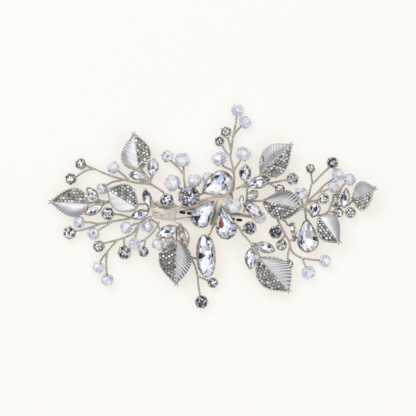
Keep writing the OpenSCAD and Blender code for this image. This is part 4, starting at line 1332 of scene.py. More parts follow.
# Painted reflections marked on the navettes: x, y and radius as pixels of the photograph, and a tone
NAVETTE_MARKS = {
    0: [(133.2, 173.8, 1.7, "ink"), (136.4, 177.6, 1.7, "white"), (141, 174.4, 1.5, "mist"),
        (145.6, 174.4, 1.4, "frost")],
    1: [(153, 168, 1.6, "slate"), (155, 164, 1.4, "frost")],
    2: [(146, 193.2, 2.1, "ink"), (148.4, 195.8, 1.1, "ice"), (149.4, 193.2, 0.9, "umber"),
        (147.4, 202.6, 2.2, "white"), (145.1, 198.4, 1.2, "slate"), (149.8, 198.6, 0.9, "grey")],
    3: [(140, 213.6, 1.8, "slate"), (136.5, 214.8, 1.5, "white"), (143, 216, 1.2, "mist")],
    4: [(94, 207.8, 1.4, "ice"), (91, 212.4, 1.2, "ink"), (95, 211.2, 0.8, "slate")],
    6: [(169, 233.0, 1.0, "ink"), (163, 231.6, 1.6, "white"), (168, 229.4, 1.6, "ice"),
        (171.5, 229, 1.0, "taupe"), (165, 235.5, 2.2, "white")],
    7: [(184, 233, 1.4, "taupe"), (185, 238, 1.6, "grey"), (182, 229, 1.4, "taupe"),
        (183, 240.5, 0.8, "ink")],
    8: [(242.8, 171, 1.9, "ink"), (246.8, 172, 1.6, "frost"), (242, 176, 1.0, "slate"),
        (247, 168, 0.7, "ink")],
    9: [(255, 181.2, 0.8, "ink"), (263, 182.6, 0.9, "slate"), (259, 182, 1.6, "white"),
        (261.5, 180.4, 0.8, "red")],
    11: [(246.4, 205.6, 1.2, "slate"), (250, 207.4, 1.6, "plum"), (254.5, 210.5, 1.8, "frost")],
    12: [(269, 246.6, 1.9, "ink"), (264, 247.4, 1.7, "white"), (261.2, 245.6, 1.0, "slate")],
    13: [(251, 256.2, 1.2, "ink"), (254, 259, 1.4, "ice"), (249, 261, 1.8, "white")],
    14: [(345.8, 199.2, 1.2, "ink"), (343.6, 196.4, 1.0, "umber"), (345, 203.4, 2.4, "white"),
        (346, 193, 1.6, "mist")],
    15: [(315.4, 209.4, 2.0, "ink"), (315, 214, 1.6, "white"), (313.6, 205, 1.8, "white")],
}
# Painted reflections on the facets of the larger stones as the photograph shows them: a tone and the corners
# of its patch
DROP_FACETS = [
    [("white", 203.8, 190.6, 210.6, 184.9, 221.2, 184.9, 221.2, 191.6, 214, 193.4, 206, 192),
     ("white", 215, 193.2, 225.2, 190.8, 224, 192.6, 216, 195.2),
     ("ice", 215.8, 184.8, 216, 180.8, 220.2, 176.2, 223.2, 177.6, 222.2, 184.8),
     ("frost", 211.2, 184.8, 212, 182.6, 216, 180.8, 215.8, 184.8),
     ("plum", 211, 181.6, 211.4, 178.8, 213.8, 176.8, 213.6, 179.6, 212.4, 181),
     ("ink", 213.4, 177.8, 215.8, 175.4, 219.8, 175, 218.6, 177.2, 215.2, 178.5),
     ("taupe", 212.6, 179.9, 215, 178.5, 218.5, 177.4, 217, 179.9, 214, 180.6),
     ("slate", 210.9, 182.2, 212.4, 180, 215.2, 180, 213.6, 181.8),
     ("slate", 201.4, 189.8, 204.6, 186, 208, 183.8, 209.4, 184.6, 206.8, 187.4, 202.6, 190.6),
     ("mist", 203.9, 187.8, 206.4, 185.2, 206.9, 186.6, 204.4, 188.8),
     ("ink", 206.8, 187.4, 207.6, 184.8, 210.7, 182.6, 210.7, 184, 208, 187.2),
     ("taupe", 203.4, 190.6, 206.9, 187.4, 209.4, 185.2, 204.6, 190.9),
     ("white", 206.6, 181.6, 210, 178, 211, 179, 210.7, 182.2, 207.4, 183.8),
     ("white", 215.6, 174.6, 217, 172.8, 219.6, 173, 219.6, 175),
     ("ink", 222.1, 184.4, 222, 183, 224, 180, 224.7, 180.6, 223.2, 184.2),
     ("grey", 221.4, 186, 224.6, 186.2, 225, 188, 224.4, 190.6, 221.3, 190.6),
     ("ink", 223.3, 186.8, 225, 187.2, 225, 188.4, 223.8, 188.2),
     ("ice", 224.6, 174.8, 227.4, 175.4, 226.8, 177.6, 225, 177.2)],
    [("ink", 192.8, 217.4, 195, 215.5, 200.9, 215.9, 201.1, 217.6, 197, 222.2),
     ("taupe", 196, 215.4, 200, 213.8, 201.1, 215.8),
     ("sky", 192.9, 218.4, 194.5, 218, 195.1, 221.4, 193.6, 221.6),
     ("pearl", 201.4, 215, 203.8, 209.8, 208, 206.8, 211, 209, 208.6, 214, 208, 217, 207.4, 222, 205, 223.2,
      202.6, 226.8, 199, 224.8, 197.8, 222.4),
     ("white", 208, 206.8, 213.2, 205.8, 212.2, 209, 209.6, 212.4, 208.8, 212),
     ("white", 197.8, 222.6, 201.2, 217.8, 201.8, 224, 200, 225.4),
     ("sky", 206.6, 203.2, 208.2, 204.6, 207.2, 207.4, 205.4, 206.4),
     ("cream", 203, 208.8, 205.6, 206.6, 206, 208.4, 204, 209.6),
     ("sky", 202.7, 226.4, 203.4, 223.8, 205.9, 223, 205, 225.2),
     ("taupe", 208.3, 216, 210.4, 212.6, 212.8, 211.2, 211.6, 214, 210.2, 219, 209.4, 223, 206.8, 226.6,
      205.4, 226.4, 208, 221.4),
     ("mist", 209.5, 216.4, 211.6, 214, 210.8, 218, 209.8, 219.2),
     ("ink", 207.7, 218.6, 208.7, 215.6, 209.4, 216.2, 208.6, 220, 208.5, 222.2, 207.6, 221.6),
     ("ink", 192.5, 212.6, 194, 210.6, 196.8, 208.9, 197.6, 209.7, 194.8, 212.2, 193.6, 213.6),
     ("plum", 195.6, 225.2, 197, 224.2, 197.8, 225.6, 196.6, 226.6)],
    [("red", 220.6, 216.8, 222.4, 219.8, 224, 225.6, 221.6, 228.2, 218.9, 227.1, 218.7, 222.6),
     ("ink", 221, 206, 222, 207.4, 222.6, 211, 224, 214.6, 223, 215.2, 221.3, 213.8, 220.7, 210),
     ("steel", 220.6, 215, 223.4, 215.2, 225.2, 217, 228, 216.2, 230.8, 221.2, 228, 220, 224.8, 218.6,
      222.2, 217.4),
     ("pearl", 222.6, 217.4, 224.8, 218.8, 226.1, 225, 225.6, 228.8, 224.2, 226.6, 223.4, 221),
     ("white", 221.2, 228.6, 224.4, 226.8, 226.6, 228.8, 225.2, 232, 221, 231.6),
     ("frost", 225.2, 219, 229, 221, 229.4, 227, 227.4, 232, 226.1, 228.6),
     ("white", 219.2, 229, 221, 228.4, 221, 231.4, 218.6, 231.6),
     ("slate", 229.6, 220.6, 231.8, 221.2, 233.6, 223.4, 232.6, 224.6, 230.8, 223.2),
     ("ink", 229.4, 227.6, 230.7, 227, 230.7, 229.6, 229.4, 229.8),
     ("slate", 226.9, 234, 228.2, 231, 229.5, 230.4, 228.8, 233.8, 227.8, 235.4),
     ("ink", 216.7, 226.6, 218.7, 226.8, 219.7, 228.2, 219, 229.4, 216.8, 228.6),
     ("ink", 232.9, 230, 235.2, 229.8, 235, 231.2, 233.2, 231.6),
     ("steel", 219.6, 235.6, 221.2, 235.8, 221.2, 238.8, 220, 238.6),
     ("slate", 228.5, 237.4, 230.4, 235.8, 231.2, 237.2, 229.4, 239),
     ("taupe", 222.8, 232.8, 225, 233.4, 225.8, 235.6, 224.4, 235.2)],
    [("white", 306.2, 238.8, 311, 239.4, 315.4, 241, 317.6, 242, 316.8, 244.6, 313, 247.4, 308.6, 247.8,
      305.8, 244.4),
     ("frost", 313, 240.8, 316, 241.8, 315.6, 244.6, 313.4, 244.2),
     ("ink", 311.9, 236.4, 315, 236.8, 315.9, 241.2, 313.4, 240),
     ("taupe", 315, 236.8, 316.8, 237.6, 317, 240, 315.9, 241.2),
     ("amber", 300.3, 235.4, 302.8, 235.8, 303.1, 239.4, 301.4, 240.2),
     ("ink", 299.9, 240, 301.7, 240.2, 302.5, 244.4, 301.3, 245.2, 300.4, 242.4),
     ("pearl", 303.2, 233.6, 304.8, 235, 306.1, 240, 305.9, 245, 304.7, 244, 303.8, 239),
     ("slate", 302.9, 240.2, 304.5, 240.6, 304.3, 243.8, 303.4, 243.2),
     ("mauve", 304.9, 230.8, 311, 231.2, 311.8, 236.8, 309.6, 238.8, 306, 238.4),
     ("grey", 306.4, 224, 309, 224, 309.6, 230.4, 306.4, 230.6),
     ("ink", 308.7, 222.2, 310.3, 222.2, 310.3, 224.3, 308.9, 224.3),
     ("white", 310.1, 225, 311.7, 224.6, 312.1, 230, 310.5, 231.2),
     ("pearl", 312.6, 226, 314.6, 225, 315.7, 229, 314, 231.2),
     ("ink", 300.5, 249, 302.1, 249, 302.1, 250.5, 300.6, 250.5),
     ("taupe", 306.8, 247.9, 308.4, 248.3, 308.4, 249.7, 307, 249.5),
     ("grey", 310.6, 245.9, 312.2, 245.9, 312.2, 247.4, 310.7, 247.3),
     ("steel", 312, 249.2, 314, 247.2, 314.3, 248.8, 312.6, 250.2)],
]
OVAL_FACETS = [
    ("mist", 201.2, 239, 206, 237.6, 206.6, 246, 204, 252.6, 201, 251),
    ("frost", 203.6, 239, 206.2, 238.4, 206.2, 244, 204.2, 244),
    ("grey", 196.8, 246, 199.2, 246, 199.6, 252, 198.8, 258, 199.4, 266, 197.8, 264),
    ("ink", 199.7, 251.9, 202.8, 253.8, 206.2, 255.6, 202.6, 258, 199.1, 259.6, 198.7, 256),
    ("red", 203, 254.6, 204.6, 254.8, 204.9, 256.6, 203, 256.9),
    ("pearl", 199.9, 259.4, 205, 257, 208, 258, 209.5, 261, 208.6, 266, 205.6, 269.4, 201, 267.6,
     199.9, 263),
    ("ice", 200.2, 259.4, 203.2, 258.2, 202.6, 261.6, 200.4, 262.2),
    ("white", 200.2, 265, 204, 265.8, 206, 269.6, 203, 270.8, 200.6, 268.2),
    ("slate", 207.9, 257.6, 209.7, 256.8, 210.4, 259.8, 208.8, 260.2),
    ("tan", 210.1, 261.2, 212, 259.4, 212.4, 262.6, 210.4, 265),
    ("ink", 211.3, 254, 213.1, 253.4, 213, 257, 211.8, 256.6),
    ("slate", 211.5, 246.8, 213, 246.8, 212.7, 251.8, 211.3, 250.6),
    ("white", 208.9, 251.4, 210.9, 250.4, 210.9, 254, 209.4, 255.2),
    ("sky", 205.9, 246.4, 208, 245.8, 207.9, 249.2, 206.3, 249.4),
    ("amber", 208, 246.7, 209.5, 246.5, 209.5, 248.1, 208.1, 248.1),
    ("umber", 207.5, 243.5, 209.5, 243.5, 209.1, 245.7, 207.7, 245.5),
    ("white", 207.5, 240.4, 211.2, 241.4, 211.2, 243.3, 207.5, 243.1),
    ("slate", 199.7, 245.2, 201.9, 245.4, 201.7, 248.2, 199.9, 247.8),
    ("slate", 203.8, 273.4, 206.5, 269.6, 207.6, 270.4, 205.1, 274),
    ("plum", 210.5, 267.2, 212.1, 267.2, 212.1, 268.9, 210.6, 268.9),
]
ROUND_FACETS = [
    ("ice", 180.4, 191.2, 182.6, 188.6, 186, 187, 190, 186.4, 192.4, 186.8, 192, 189, 188.8, 189.5,
     185.4, 189.8, 182.6, 191.6),
    ("mist", 179.6, 193.8, 181.9, 194.2, 181.6, 195.6, 179.8, 195.2),
    ("slate", 178.4, 195.6, 179.6, 194.9, 180.3, 196.5, 178.9, 197.5),
    ("grey", 179.8, 197, 181.2, 196.8, 181.2, 198.8, 180, 199.1),
    ("ink", 179.3, 192.2, 180, 191.5, 182.7, 193.3, 182, 194.2),
    ("ink", 182.8, 192.9, 185.8, 190, 186.3, 190.8, 183.7, 193.7),
    ("mist", 186.5, 190.2, 189, 189.7, 188.5, 191, 186.7, 191.3),
    ("cream", 184.6, 191.9, 185.8, 191.3, 186, 192.2, 185.1, 193.3),
    ("plum", 186.2, 192.2, 187.8, 191.5, 188.6, 194.2, 188.1, 195.4, 186, 194.2),
    ("cream", 188.8, 191.3, 190, 191.1, 190.2, 192.9, 189.7, 194.4, 189, 194.2),
    ("plum", 190.4, 192.2, 192, 191, 191.7, 194.2, 190.4, 194.9),
    ("ink", 184.4, 194.6, 185.8, 194.8, 188.1, 195.5, 189.5, 195.5, 190.8, 194.2, 191.8, 194.7,
     189.7, 196.9, 188.1, 196.6, 185.8, 195.9),
    ("ink", 192, 191, 194, 190.3, 196.3, 193.3, 194.5, 194.2, 192.7, 192.9),
    ("plum", 192.6, 189.2, 193.8, 187.6, 195, 187.9, 193.9, 189.8),
    ("steel", 195, 189.9, 196.3, 189.2, 198.6, 191.9, 197.3, 192.6),
    ("cream", 195, 194.9, 197.7, 193.5, 198.4, 193.8, 196.3, 195.8),
    ("taupe", 196.8, 195.6, 198.4, 194.2, 198.9, 195.4, 197.7, 196.1),
    ("white", 191.6, 195.2, 193.1, 194.1, 193.7, 194.7, 192, 196.3),
    ("white", 183.8, 196.3, 185.8, 195.9, 186.7, 196.8, 184.9, 197.6),
    ("white", 189.5, 197.7, 190.8, 196.7, 191.8, 197.5, 191.3, 198.5, 189.9, 198.7),
    ("mist", 186.7, 196.8, 188.1, 196.8, 189.5, 197.5, 188.1, 198.2),
    ("white", 188.1, 199.1, 189.5, 198.8, 190.2, 200.2, 189, 201),
    ("white", 188.5, 203.9, 189.9, 203.7, 191, 206.6, 189.4, 206.8),
    ("ink", 186.4, 203.7, 187.9, 204.1, 187.8, 205.8, 186.2, 205.6),
    ("umber", 181.9, 199.1, 184.9, 198.1, 185.8, 198.6, 184.4, 200.7, 182.3, 200.4),
    ("plum", 182.3, 197, 183.7, 196.5, 183.9, 197.9, 182.8, 198.4),
    ("ink", 183, 201.1, 184.4, 200.9, 184.7, 202.4, 183.4, 202.7),
    ("white", 180.6, 201.6, 182.3, 201, 182.8, 202.5, 181.6, 203),
    ("mauve", 185.3, 200.7, 186.7, 200.7, 186.5, 202.7, 185.3, 202.7),
    ("slate", 185.8, 198.6, 187.8, 198.8, 188.1, 202, 187.2, 201.6, 186.2, 199.7),
    ("plum", 188.3, 201.4, 190.4, 201.6, 190.1, 202.7, 188.5, 202.7),
    ("steel", 190.1, 198.7, 191.7, 199.1, 191.7, 201.1, 190.6, 201.1),
    ("plum", 192.7, 197.5, 194, 197, 194, 199.1, 193.1, 199.1),
    ("frost", 195.9, 197.2, 197.5, 197.2, 197.7, 198.4, 196.3, 198.8),
    ("plum", 195.2, 199.7, 196.8, 199.1, 198.6, 199.7, 198.2, 201.2, 197.1, 200.4),
    ("ink", 193.9, 201, 195.2, 201.8, 196.5, 203.4, 195.4, 204.3, 194, 203),
    ("ice", 195.7, 201.1, 197.5, 201.4, 197.1, 203, 196.3, 202.5),
    ("plum", 193.2, 203, 195.2, 204.1, 194.4, 205.1, 193.4, 204.6),
    ("taupe", 191.3, 203, 192.7, 203, 193.2, 205.6, 192, 206),
]


class HAIRCLIP_OT_stones(bpy.types.Operator):
    """Cut the navette, drop, oval and round stones"""
    bl_idname = "hair_clip.stones"
    bl_label = "Cut stones"

    def execute(self, context):
        finish = stone_finish()
        for i, row in enumerate(NAVETTES):
            length, width = navette_stone_length(row[3], row[4]), stone_size(row[4])
            stone = cut_stone(navette_outline(length, width, 28), width, f"cut_navette_{i + 1}")
            self.finished(stone, navette_place(row), finish, 40 + i, NAVETTE_TONES.get(i, TONES),
                          NAVETTE_MARKS.get(i, ()), f"navette_stone_{i + 1}")
        for i, row in enumerate(PEARS):
            r = row[3] - WALL - SEAT_GAP
            outline = drop_outline(r, row[4] * r / row[3], 23)
            stone = cut_stone(evened(outline, 34), 2 * r, f"cut_drop_{i + 1}", 11)
            self.finished(stone, drop_place(row), finish, 70 + i, MOSAIC, (), f"drop_stone_{i + 1}",
                          DROP_FACETS[i])
        width = stone_size(OVAL[4])
        stone = cut_stone(oval_outline(stone_size(OVAL[3]), width, 32), width, "cut_oval", 12)
        self.finished(stone, oval_place(), finish, 80, MOSAIC, (), "oval_stone", OVAL_FACETS)
        width = stone_size(CENTRE_ROUND[3])
        stone = cut_stone(round_outline(width, 24), width, "cut_round", 8)
        settle(stone, in_metres(Matrix.Translation(lifted(CENTRE_ROUND))))
        tone_star(stone, CENTRE_ROUND, width / 2, 5, 8, ["plum", "plum", "slate", "taupe"],
                  ["grey", "mauve", "mist", "grey", "frost"])
        patched(stone, ROUND_FACETS)
        wear(stone, finish)
        hand_over(stone, "stone_glass", "round_stone")
        self.small_rounds(finish)
        return {"FINISHED"}

    def finished(self, stone, place, finish, seed, palette, marks, node, facets=()):
        settle(stone, in_metres(place))
        tone_stone(stone, seed, palette, marks)
        patched(stone, facets)
        wear(stone, finish)
        hand_over(stone, "stone_glass", node)

    def small_rounds(self, finish):
        master = cut_stone(round_outline(4, 16), 4, "small_round")
        made = []
        for i, row in enumerate(ROUNDS):
            turn = turn_z(random.Random(i).uniform(0, 45))
            size = stone_size(row[3])
            stone = copy_of(master, in_metres(round_place(row) @ turn @ Matrix.Scale(size / 4, 4)))
            darks = STAR_DARKS if i in DARK_CUPS else WARM_DARKS if i in WARM_CUPS else PALE_DARKS
            tone_star(stone, lifted(row), size / 2, 200 + i, 4, darks, STAR_LIGHTS, CUP_LEVELS.get(i, 1.0))
            made.append(stone)
        drop(master)
        piece = joined(made, "small_round_stones")
        wear(piece, finish)
        hand_over(piece, "stone_glass", "cup_stones")


# Settings


def claw():
    """One claw: up the outside of a wall, over its edge and down to a rounded tip. X is outwards."""
    clear_selection()
    bpy.ops.mesh.primitive_circle_add(vertices=6, radius=0.26, fill_type="NGON", location=(0.02, 0, -1.1))
    piece = bpy.context.object
    bpy.ops.object.transform_apply(location=True, rotation=False, scale=False)
    edit(piece)
    bpy.ops.mesh.select_all(action="SELECT")
    moves = [((0.02, 0, 1.0), 0, 1.0), ((-0.06, 0, 0.35), 22, 1.0), ((-0.22, 0, 0.22), 38, 1.0),
             ((-0.3, 0, 0.02), 30, 1.15), ((-0.2, 0, -0.08), 10, 0.6)]
    for move, lean, size in moves:
        bpy.ops.mesh.extrude_region_move(TRANSFORM_OT_translate={"value": move})
        if lean:
            here = selected_places(piece)
            centre = sum(here, Vector()) / len(here)
            bpy.ops.transform.rotate(value=math.radians(lean), orient_axis="Y", center_override=centre)
            bpy.ops.transform.resize(value=(size, size, size), center_override=centre)
    bpy.ops.mesh.select_all(action="SELECT")
    bpy.ops.mesh.normals_make_consistent(inside=False)
    done_editing()
    return piece


def selected_places(piece):
    """Where the selected vertices of a piece in edit mode are."""
    bpy.ops.object.mode_set(mode="OBJECT")
    places = [v.co.copy() for v in piece.data.vertices if v.select]
    bpy.ops.object.mode_set(mode="EDIT")
    return places


def walled(outline, width, name):
    """A setting's wall and floor over its outline."""
    depth = setting_depth(stone_size(width))
    cup = outline_block(outline, -0.05, -depth, name)
    edit(cup)
    select_faces(cup, lambda centre, normal: normal.z > 0.9)
    bpy.ops.mesh.inset(thickness=WALL)
    bpy.ops.mesh.extrude_region_move(TRANSFORM_OT_translate={"value": (0, 0, WALL - depth + 0.05)})
    bpy.ops.mesh.select_all(action="SELECT")
    bpy.ops.mesh.normals_make_consistent(inside=False)
    done_editing()
    return cup


def rim_wire(outline, diameter):
    """The rounded lip along the top of a setting's wall."""
    shrink = 1 - diameter * 0.4 / max(math.hypot(x, y) for x, y in outline)
    line = [(x * shrink, y * shrink, -0.1) for x, y in outline]
    ring = drawn_wires([line], diameter * MM, "rim_wire", True)
    ring.data.transform(Matrix.Scale(1 / MM, 4))
    return ring


def claw_setting(outline, width, master, spots, name, lip=0.0):
    """A setting with its lip and a claw at each spot, which is the claw's place and the way it faces."""
    pieces = [walled(outline, width, name)]
    for (x, y), facing in spots:
        pieces.append(copy_of(master, Matrix.Translation((x, y, 0)) @ turn_z(facing)))
    cup = joined(pieces, name)
    return joined([cup, rim_wire(outline, lip)], name) if lip else cup


def ring_of_spots(radius, count):
    """Places for claws round a circle."""
    angles = [math.pi * (2 * k + 1) / count for k in range(count)]
    return [(around(radius, a), math.degrees(a)) for a in angles]


class HAIRCLIP_OT_settings(bpy.types.Operator):
    """Make the claw settings that hold the stones"""
    bl_idname = "hair_clip.settings"
    bl_label = "Claw settings"

    def execute(self, context):
        finish = setting_finish()
        master = claw()
        self.cups(master, finish)
        self.navettes(master, finish)
        self.drops(master, finish)
        self.centre(master, finish)
        drop(master)
        return {"FINISHED"}

    def finished(self, piece, finish, *nodes):
        shaded(piece, 40)
        wear(piece, finish)
        hand_over(piece, "setting_metal", *nodes)

    def cups(self, master, finish):
        model = claw_setting(round_outline(5, 24), 5, master, ring_of_spots(2.5, 6), "cup", 0.42)
        made = []
        for i, row in enumerate(ROUNDS):
            turn = turn_z(random.Random(90 + i).uniform(0, 60))
            made.append(copy_of(model, in_metres(round_place(row) @ turn @ Matrix.Scale(row[3] / 5, 4))))
        drop(model)
        self.finished(joined(made, "claw_cups"), finish, "cup_settings")

    def navettes(self, master, finish):
        made = []
        for row in NAVETTES:
            length, width = row[3], row[4]
            tip = navette_stone_length(length, width) / 2 + 0.4
            spots = [((tip, 0), 0), ((-tip, 0), 180)]
            x, radius = length * 0.2, navette_radius(length, width)
            y = math.sqrt(radius ** 2 - x * x) - radius + width / 2
            lean = math.degrees(math.asin(x / radius))
            spots += [((x, y), 90 - lean), ((-x, y), 90 + lean), ((x, -y), lean - 90), ((-x, -y), -90 - lean)]
            outline = navette_outline(length, width, 36)
            cup = claw_setting(outline, width, master, spots, "navette_cup", 0.55)
            settle(cup, in_metres(navette_place(row)))
            made.append(cup)
        self.finished(joined(made, "claw_navettes"), finish, "navette_settings")

    def drops(self, master, finish):
        for i, row in enumerate(PEARS):
            r, reach = row[3], row[4]
            spots = [((-reach + 0.55, 0), 180)]
            spots += [(around(r, math.radians(a)), a) for a in (0, 38, -38, 76, -76, 112, -112)]
            outline = evened(drop_outline(r, reach, 29), 44)
            cup = claw_setting(outline, 2 * r, master, spots, f"claw_drop_{i + 1}", 0.5)
            settle(cup, in_metres(drop_place(row)))
            self.finished(cup, finish, f"drop_setting_{i + 1}")

    def centre(self, master, finish):
        length, width = OVAL[3], OVAL[4]
        spots = [((length / 2, 0), 0), ((-length / 2, 0), 180)]
        for s in (-1, 1):
            for x, y, lean in ((0.1, 0.495, 3), (0.27, 0.44, 14), (0.41, 0.31, 34)):
                spots += [((x * length, s * y * width), s * (90 - lean)),
                          ((-x * length, s * y * width), s * (90 + lean))]
        cup = claw_setting(oval_outline(length, width, 44), width, master, spots, "claw_oval", 0.5)
        settle(cup, in_metres(oval_place()))
        self.finished(cup, finish, "oval_setting")
        d = CENTRE_ROUND[3]
        cup = claw_setting(round_outline(d, 36), d, master, ring_of_spots(d / 2, 10), "claw_round")
        settle(cup, in_metres(Matrix.Translation(lifted(CENTRE_ROUND))))
        self.finished(cup, finish, "round_setting")


# Leaves


# Colours painted on the leaves: a warm tint near the base, painted shade in the grooves, painted shade under
# the leaf, and painted shade in the bed round the small stones
LEAF_MARKS = {
    "tint": (0.50, 0.44, 0.38),
    "groove": (0.12, 0.12, 0.135),
    "underside_shade": (0.30, 0.30, 0.33),
    "bed": (0.13, 0.118, 0.098),
}
# How bright the ribbed half of each leaf is, which is painted light and shade, and how dark its grooves are,
# which is painted shade
LEAF_TONES = [(1.0, 0.5), (0.86, 0.75), (1.0, 0.0), (0.64, 0.95), (0.46, 0.75), (0.78, 0.95), (0.78, 0.75),
              (0.70, 0.15), (1.1, 0.25)]
# How bright the painted reflections on the small stones of each leaf are, which also sets how dark their bed
# is painted
SET_TONES = [1.28, 1.36, 1.05, 0.86, 1.08, 0.9, 0.93, 0.86, 1.36]
# The leaf whose ribbed half gets a painted highlight, the one with a plain bright tip and painted shade past
# a fold, and the ones with shallow ribs
HIGHLIT_LEAF, TIPPED_LEAF = LEAVES[4], LEAVES[8]
SMOOTH_LEAVES = (2, 7)
# Knobs along the rim of a set half
KNOBS = 26
RIB_COLUMNS = 10
# Points along a leaf for each of its ribs
RIB_STEPS = 4
# Largest value of the curve that gives a half its width
WIDEST_SHARE = 0.318
# Share of the length by which lines across a leaf lean towards its tip, and where on a half they don't
LEAN = 0.16
LEAN_PIVOT = 0.7
# The same lean at the edge, and how much more the ribs lean
EDGE_LEAN = 0.048
RIB_LEAN = 0.30


def leaf_half(u, widest, fullness):
    """Half width at share u of the length. The fuller a half is, the nearer to the tip it is widest."""
    share = (u ** fullness) ** 0.6 * (1 - u ** fullness) ** 1.2 / WIDEST_SHARE
    return max(widest * share, 0.7 - 0.35 * u)


def leaf_rise(u, v):
    """Height of the leaf's face: the midrib is the lowest line and the tip bends down."""
    rise = 1.5 * v * v if v > 0 else 0.5 * v * v + 0.5 * abs(v)
    return rise * math.sin(math.pi * min(0.999, u * 0.86 + 0.1)) - 1.2 * u * u


def leaf_place(row):
    return Matrix.Translation(lifted(row)) @ turned_piece(row[3], row[7], row[8])


def face_point(row, u, v, lift=0.0):
    """A point on the leaf's face, in its own frame. v is 1 at the ribbed edge and -1 at the set one."""
    t = max(0.0, min(1.0, u))
    along = t + LEAN * math.sin(math.pi * t) * (abs(v) - LEAN_PIVOT)
    side = 0 if v > 0 else 1
    half = leaf_half(t, row[5 + side], row[9 + side])
    return Vector((along * row[4], v * half, leaf_rise(t, v) + lift))


def rib_point(row, t, v, lift):
    """A point of a rib that starts at share t of the edge and leans more than the leaf's own lines do."""
    along = t + EDGE_LEAN * math.sin(math.pi * t) - RIB_LEAN * math.sin(math.pi * t) * (1 - v)
    u = along
    for _ in range(8):
        u = max(0.0, min(1.0, along - LEAN * math.sin(math.pi * u) * (v - LEAN_PIVOT)))
    return Vector((along * row[4], v * leaf_half(u, row[5], row[9]), leaf_rise(u, v) + lift))


def sheet(name, rows, columns, spot, thickness):
    """A grid shaped by spot(i, j), thickened downwards."""
    clear_selection()
    bpy.ops.mesh.primitive_grid_add(x_subdivisions=columns, y_subdivisions=rows, size=1)
    piece = bpy.context.object
    piece.name = name
    for vertex in piece.data.vertices:
        j = round((vertex.co.x + 0.5) * columns)
        i = round((vertex.co.y + 0.5) * rows)
        vertex.co = spot(i, j)
    thicken = piece.modifiers.new("Thickness", "SOLIDIFY")
    thicken.thickness = thickness
    thicken.offset = -1
    bpy.ops.object.modifier_apply(modifier=thicken.name)
    return piece


def ribbed_half(row, smooth):
    """The half with fine ribs that end as the teeth of a comb on its edge."""
    steps = looks().leaf_ribs * RIB_STEPS
    rib_height = 0.05 if smooth else 0.3

    def spot(i, j):
        t, v = i / steps, 1 - j / RIB_COLUMNS
        crest = 0.5 + 0.5 * math.cos(math.pi * (i % RIB_STEPS) / 2)
        ends = min(1.0, 9 * t) * min(1.0, 7 * (1 - t))
        point = rib_point(row, t, v, rib_height * crest * min(1, v * 1.2) * ends - 0.04)
        if j == 0 and not smooth:
            point.y += 0.14 * crest * ends
        return point

    return sheet("ribbed_half", steps, RIB_COLUMNS, spot, 0.55)


def tube(points, diameter, name):
    """One plain round wire through points in the leaf's own frame, in millimetres."""
    piece = drawn_wires([points], diameter * MM, name)
    piece.data.transform(Matrix.Scale(1 / MM, 4))
    return piece


def set_bed(row):
    """The sunken half that holds the small stones."""
    steps = 26

    def spot(i, j):
        v = -j / 6
        sink = -0.28 * min(1, 4 * -v) if v > -0.9 else -0.1
        return face_point(row, i / steps, v, sink)

    return sheet("set_bed", steps, 6, spot, 0.5)


def set_end(row):
    """Share of its length at which the small stones of a leaf end. The last leaf has a plain bright tip."""
    return 0.74 if row == TIPPED_LEAF else 0.96


def small_stone():
    """A small domed stone of eight sides, two across."""
    clear_selection()
    bpy.ops.mesh.primitive_cylinder_add(vertices=8, radius=1, depth=0.7, end_fill_type="NGON")
    stone = bpy.context.object
    edit(stone)
    select_faces(stone, lambda centre, normal: normal.z > 0.9)
    bpy.ops.mesh.inset(thickness=0.42)
    bpy.ops.transform.translate(value=(0, 0, 0.3))
    done_editing()
    return stone


def pave(row, seed, stone, grain):
    """Small stones over the set half, with grains between them, in the leaf's own frame."""
    last = set_end(row)
    chance = random.Random(seed)
    step = looks().pave_step / MM
    first_row, margin, sway, lean = 0.68, 0.4, 0.07, 0.16
    stones, grains = [], []
    length, widest, fullness = row[4], row[6], row[10]
    for k in range(int(widest / (step * 0.88)) + 1):
        across = -(first_row + k * step * 0.88)
        for i in range(int(length / step)):
            along = (i + (0.25 if k % 2 else 0.75)) * step
            u = along / length
            half = leaf_half(min(0.999, u), widest, fullness)
            if not 0.03 < u < last or -across > half - margin:
                continue
            here = face_point(row, u, across / half, -0.1)
            here.x = along + chance.uniform(-sway, sway)
            here.y = across + chance.uniform(-sway, sway)
            size = step * chance.choice((0.44, 0.48, 0.52))
            tilt = (Matrix.Rotation(chance.uniform(-lean, lean), 4, "X")
                    @ Matrix.Rotation(chance.uniform(-lean, lean), 4, "Y"))
            stones.append(copy_of(stone, Matrix.Translation(here) @ tilt @ turn_z(chance.uniform(0, 45))
                                  @ Matrix.Scale(size, 4)))
            for dx, dy in ((0.5, 0.0), (0.25, -0.45)):
                if chance.random() < 0.8:
                    at = here + Vector((dx * step, dy * step, 0.12))
                    if -at.y < leaf_half(min(0.99, at.x / length), widest, fullness) - 0.45:
                        grains.append(copy_of(grain, Matrix.Translation(at) @ Matrix.Scale(step * 0.13, 4)))
    return stones, grains


# Painted reflections for the tops and sides of the small stones
TOP_TONES = tones(white=1, frost=1, mist=3, grey=3, taupe=2, olive=1)
SIDE_TONES = tones(white=2, frost=1, mist=2, grey=1, taupe=1, olive=2)


def tone_small(stone, chance, level):
    """One painted reflection for the flat top of a small stone, and one for each of its sides."""
    top = COLOURS[chance.choice(TOP_TONES)]

    def chosen(centre, normal, number):
        return levelled(top if normal.z > 0.8 else COLOURS[chance.choice(SIDE_TONES)], level)

    paint(stone, chosen)


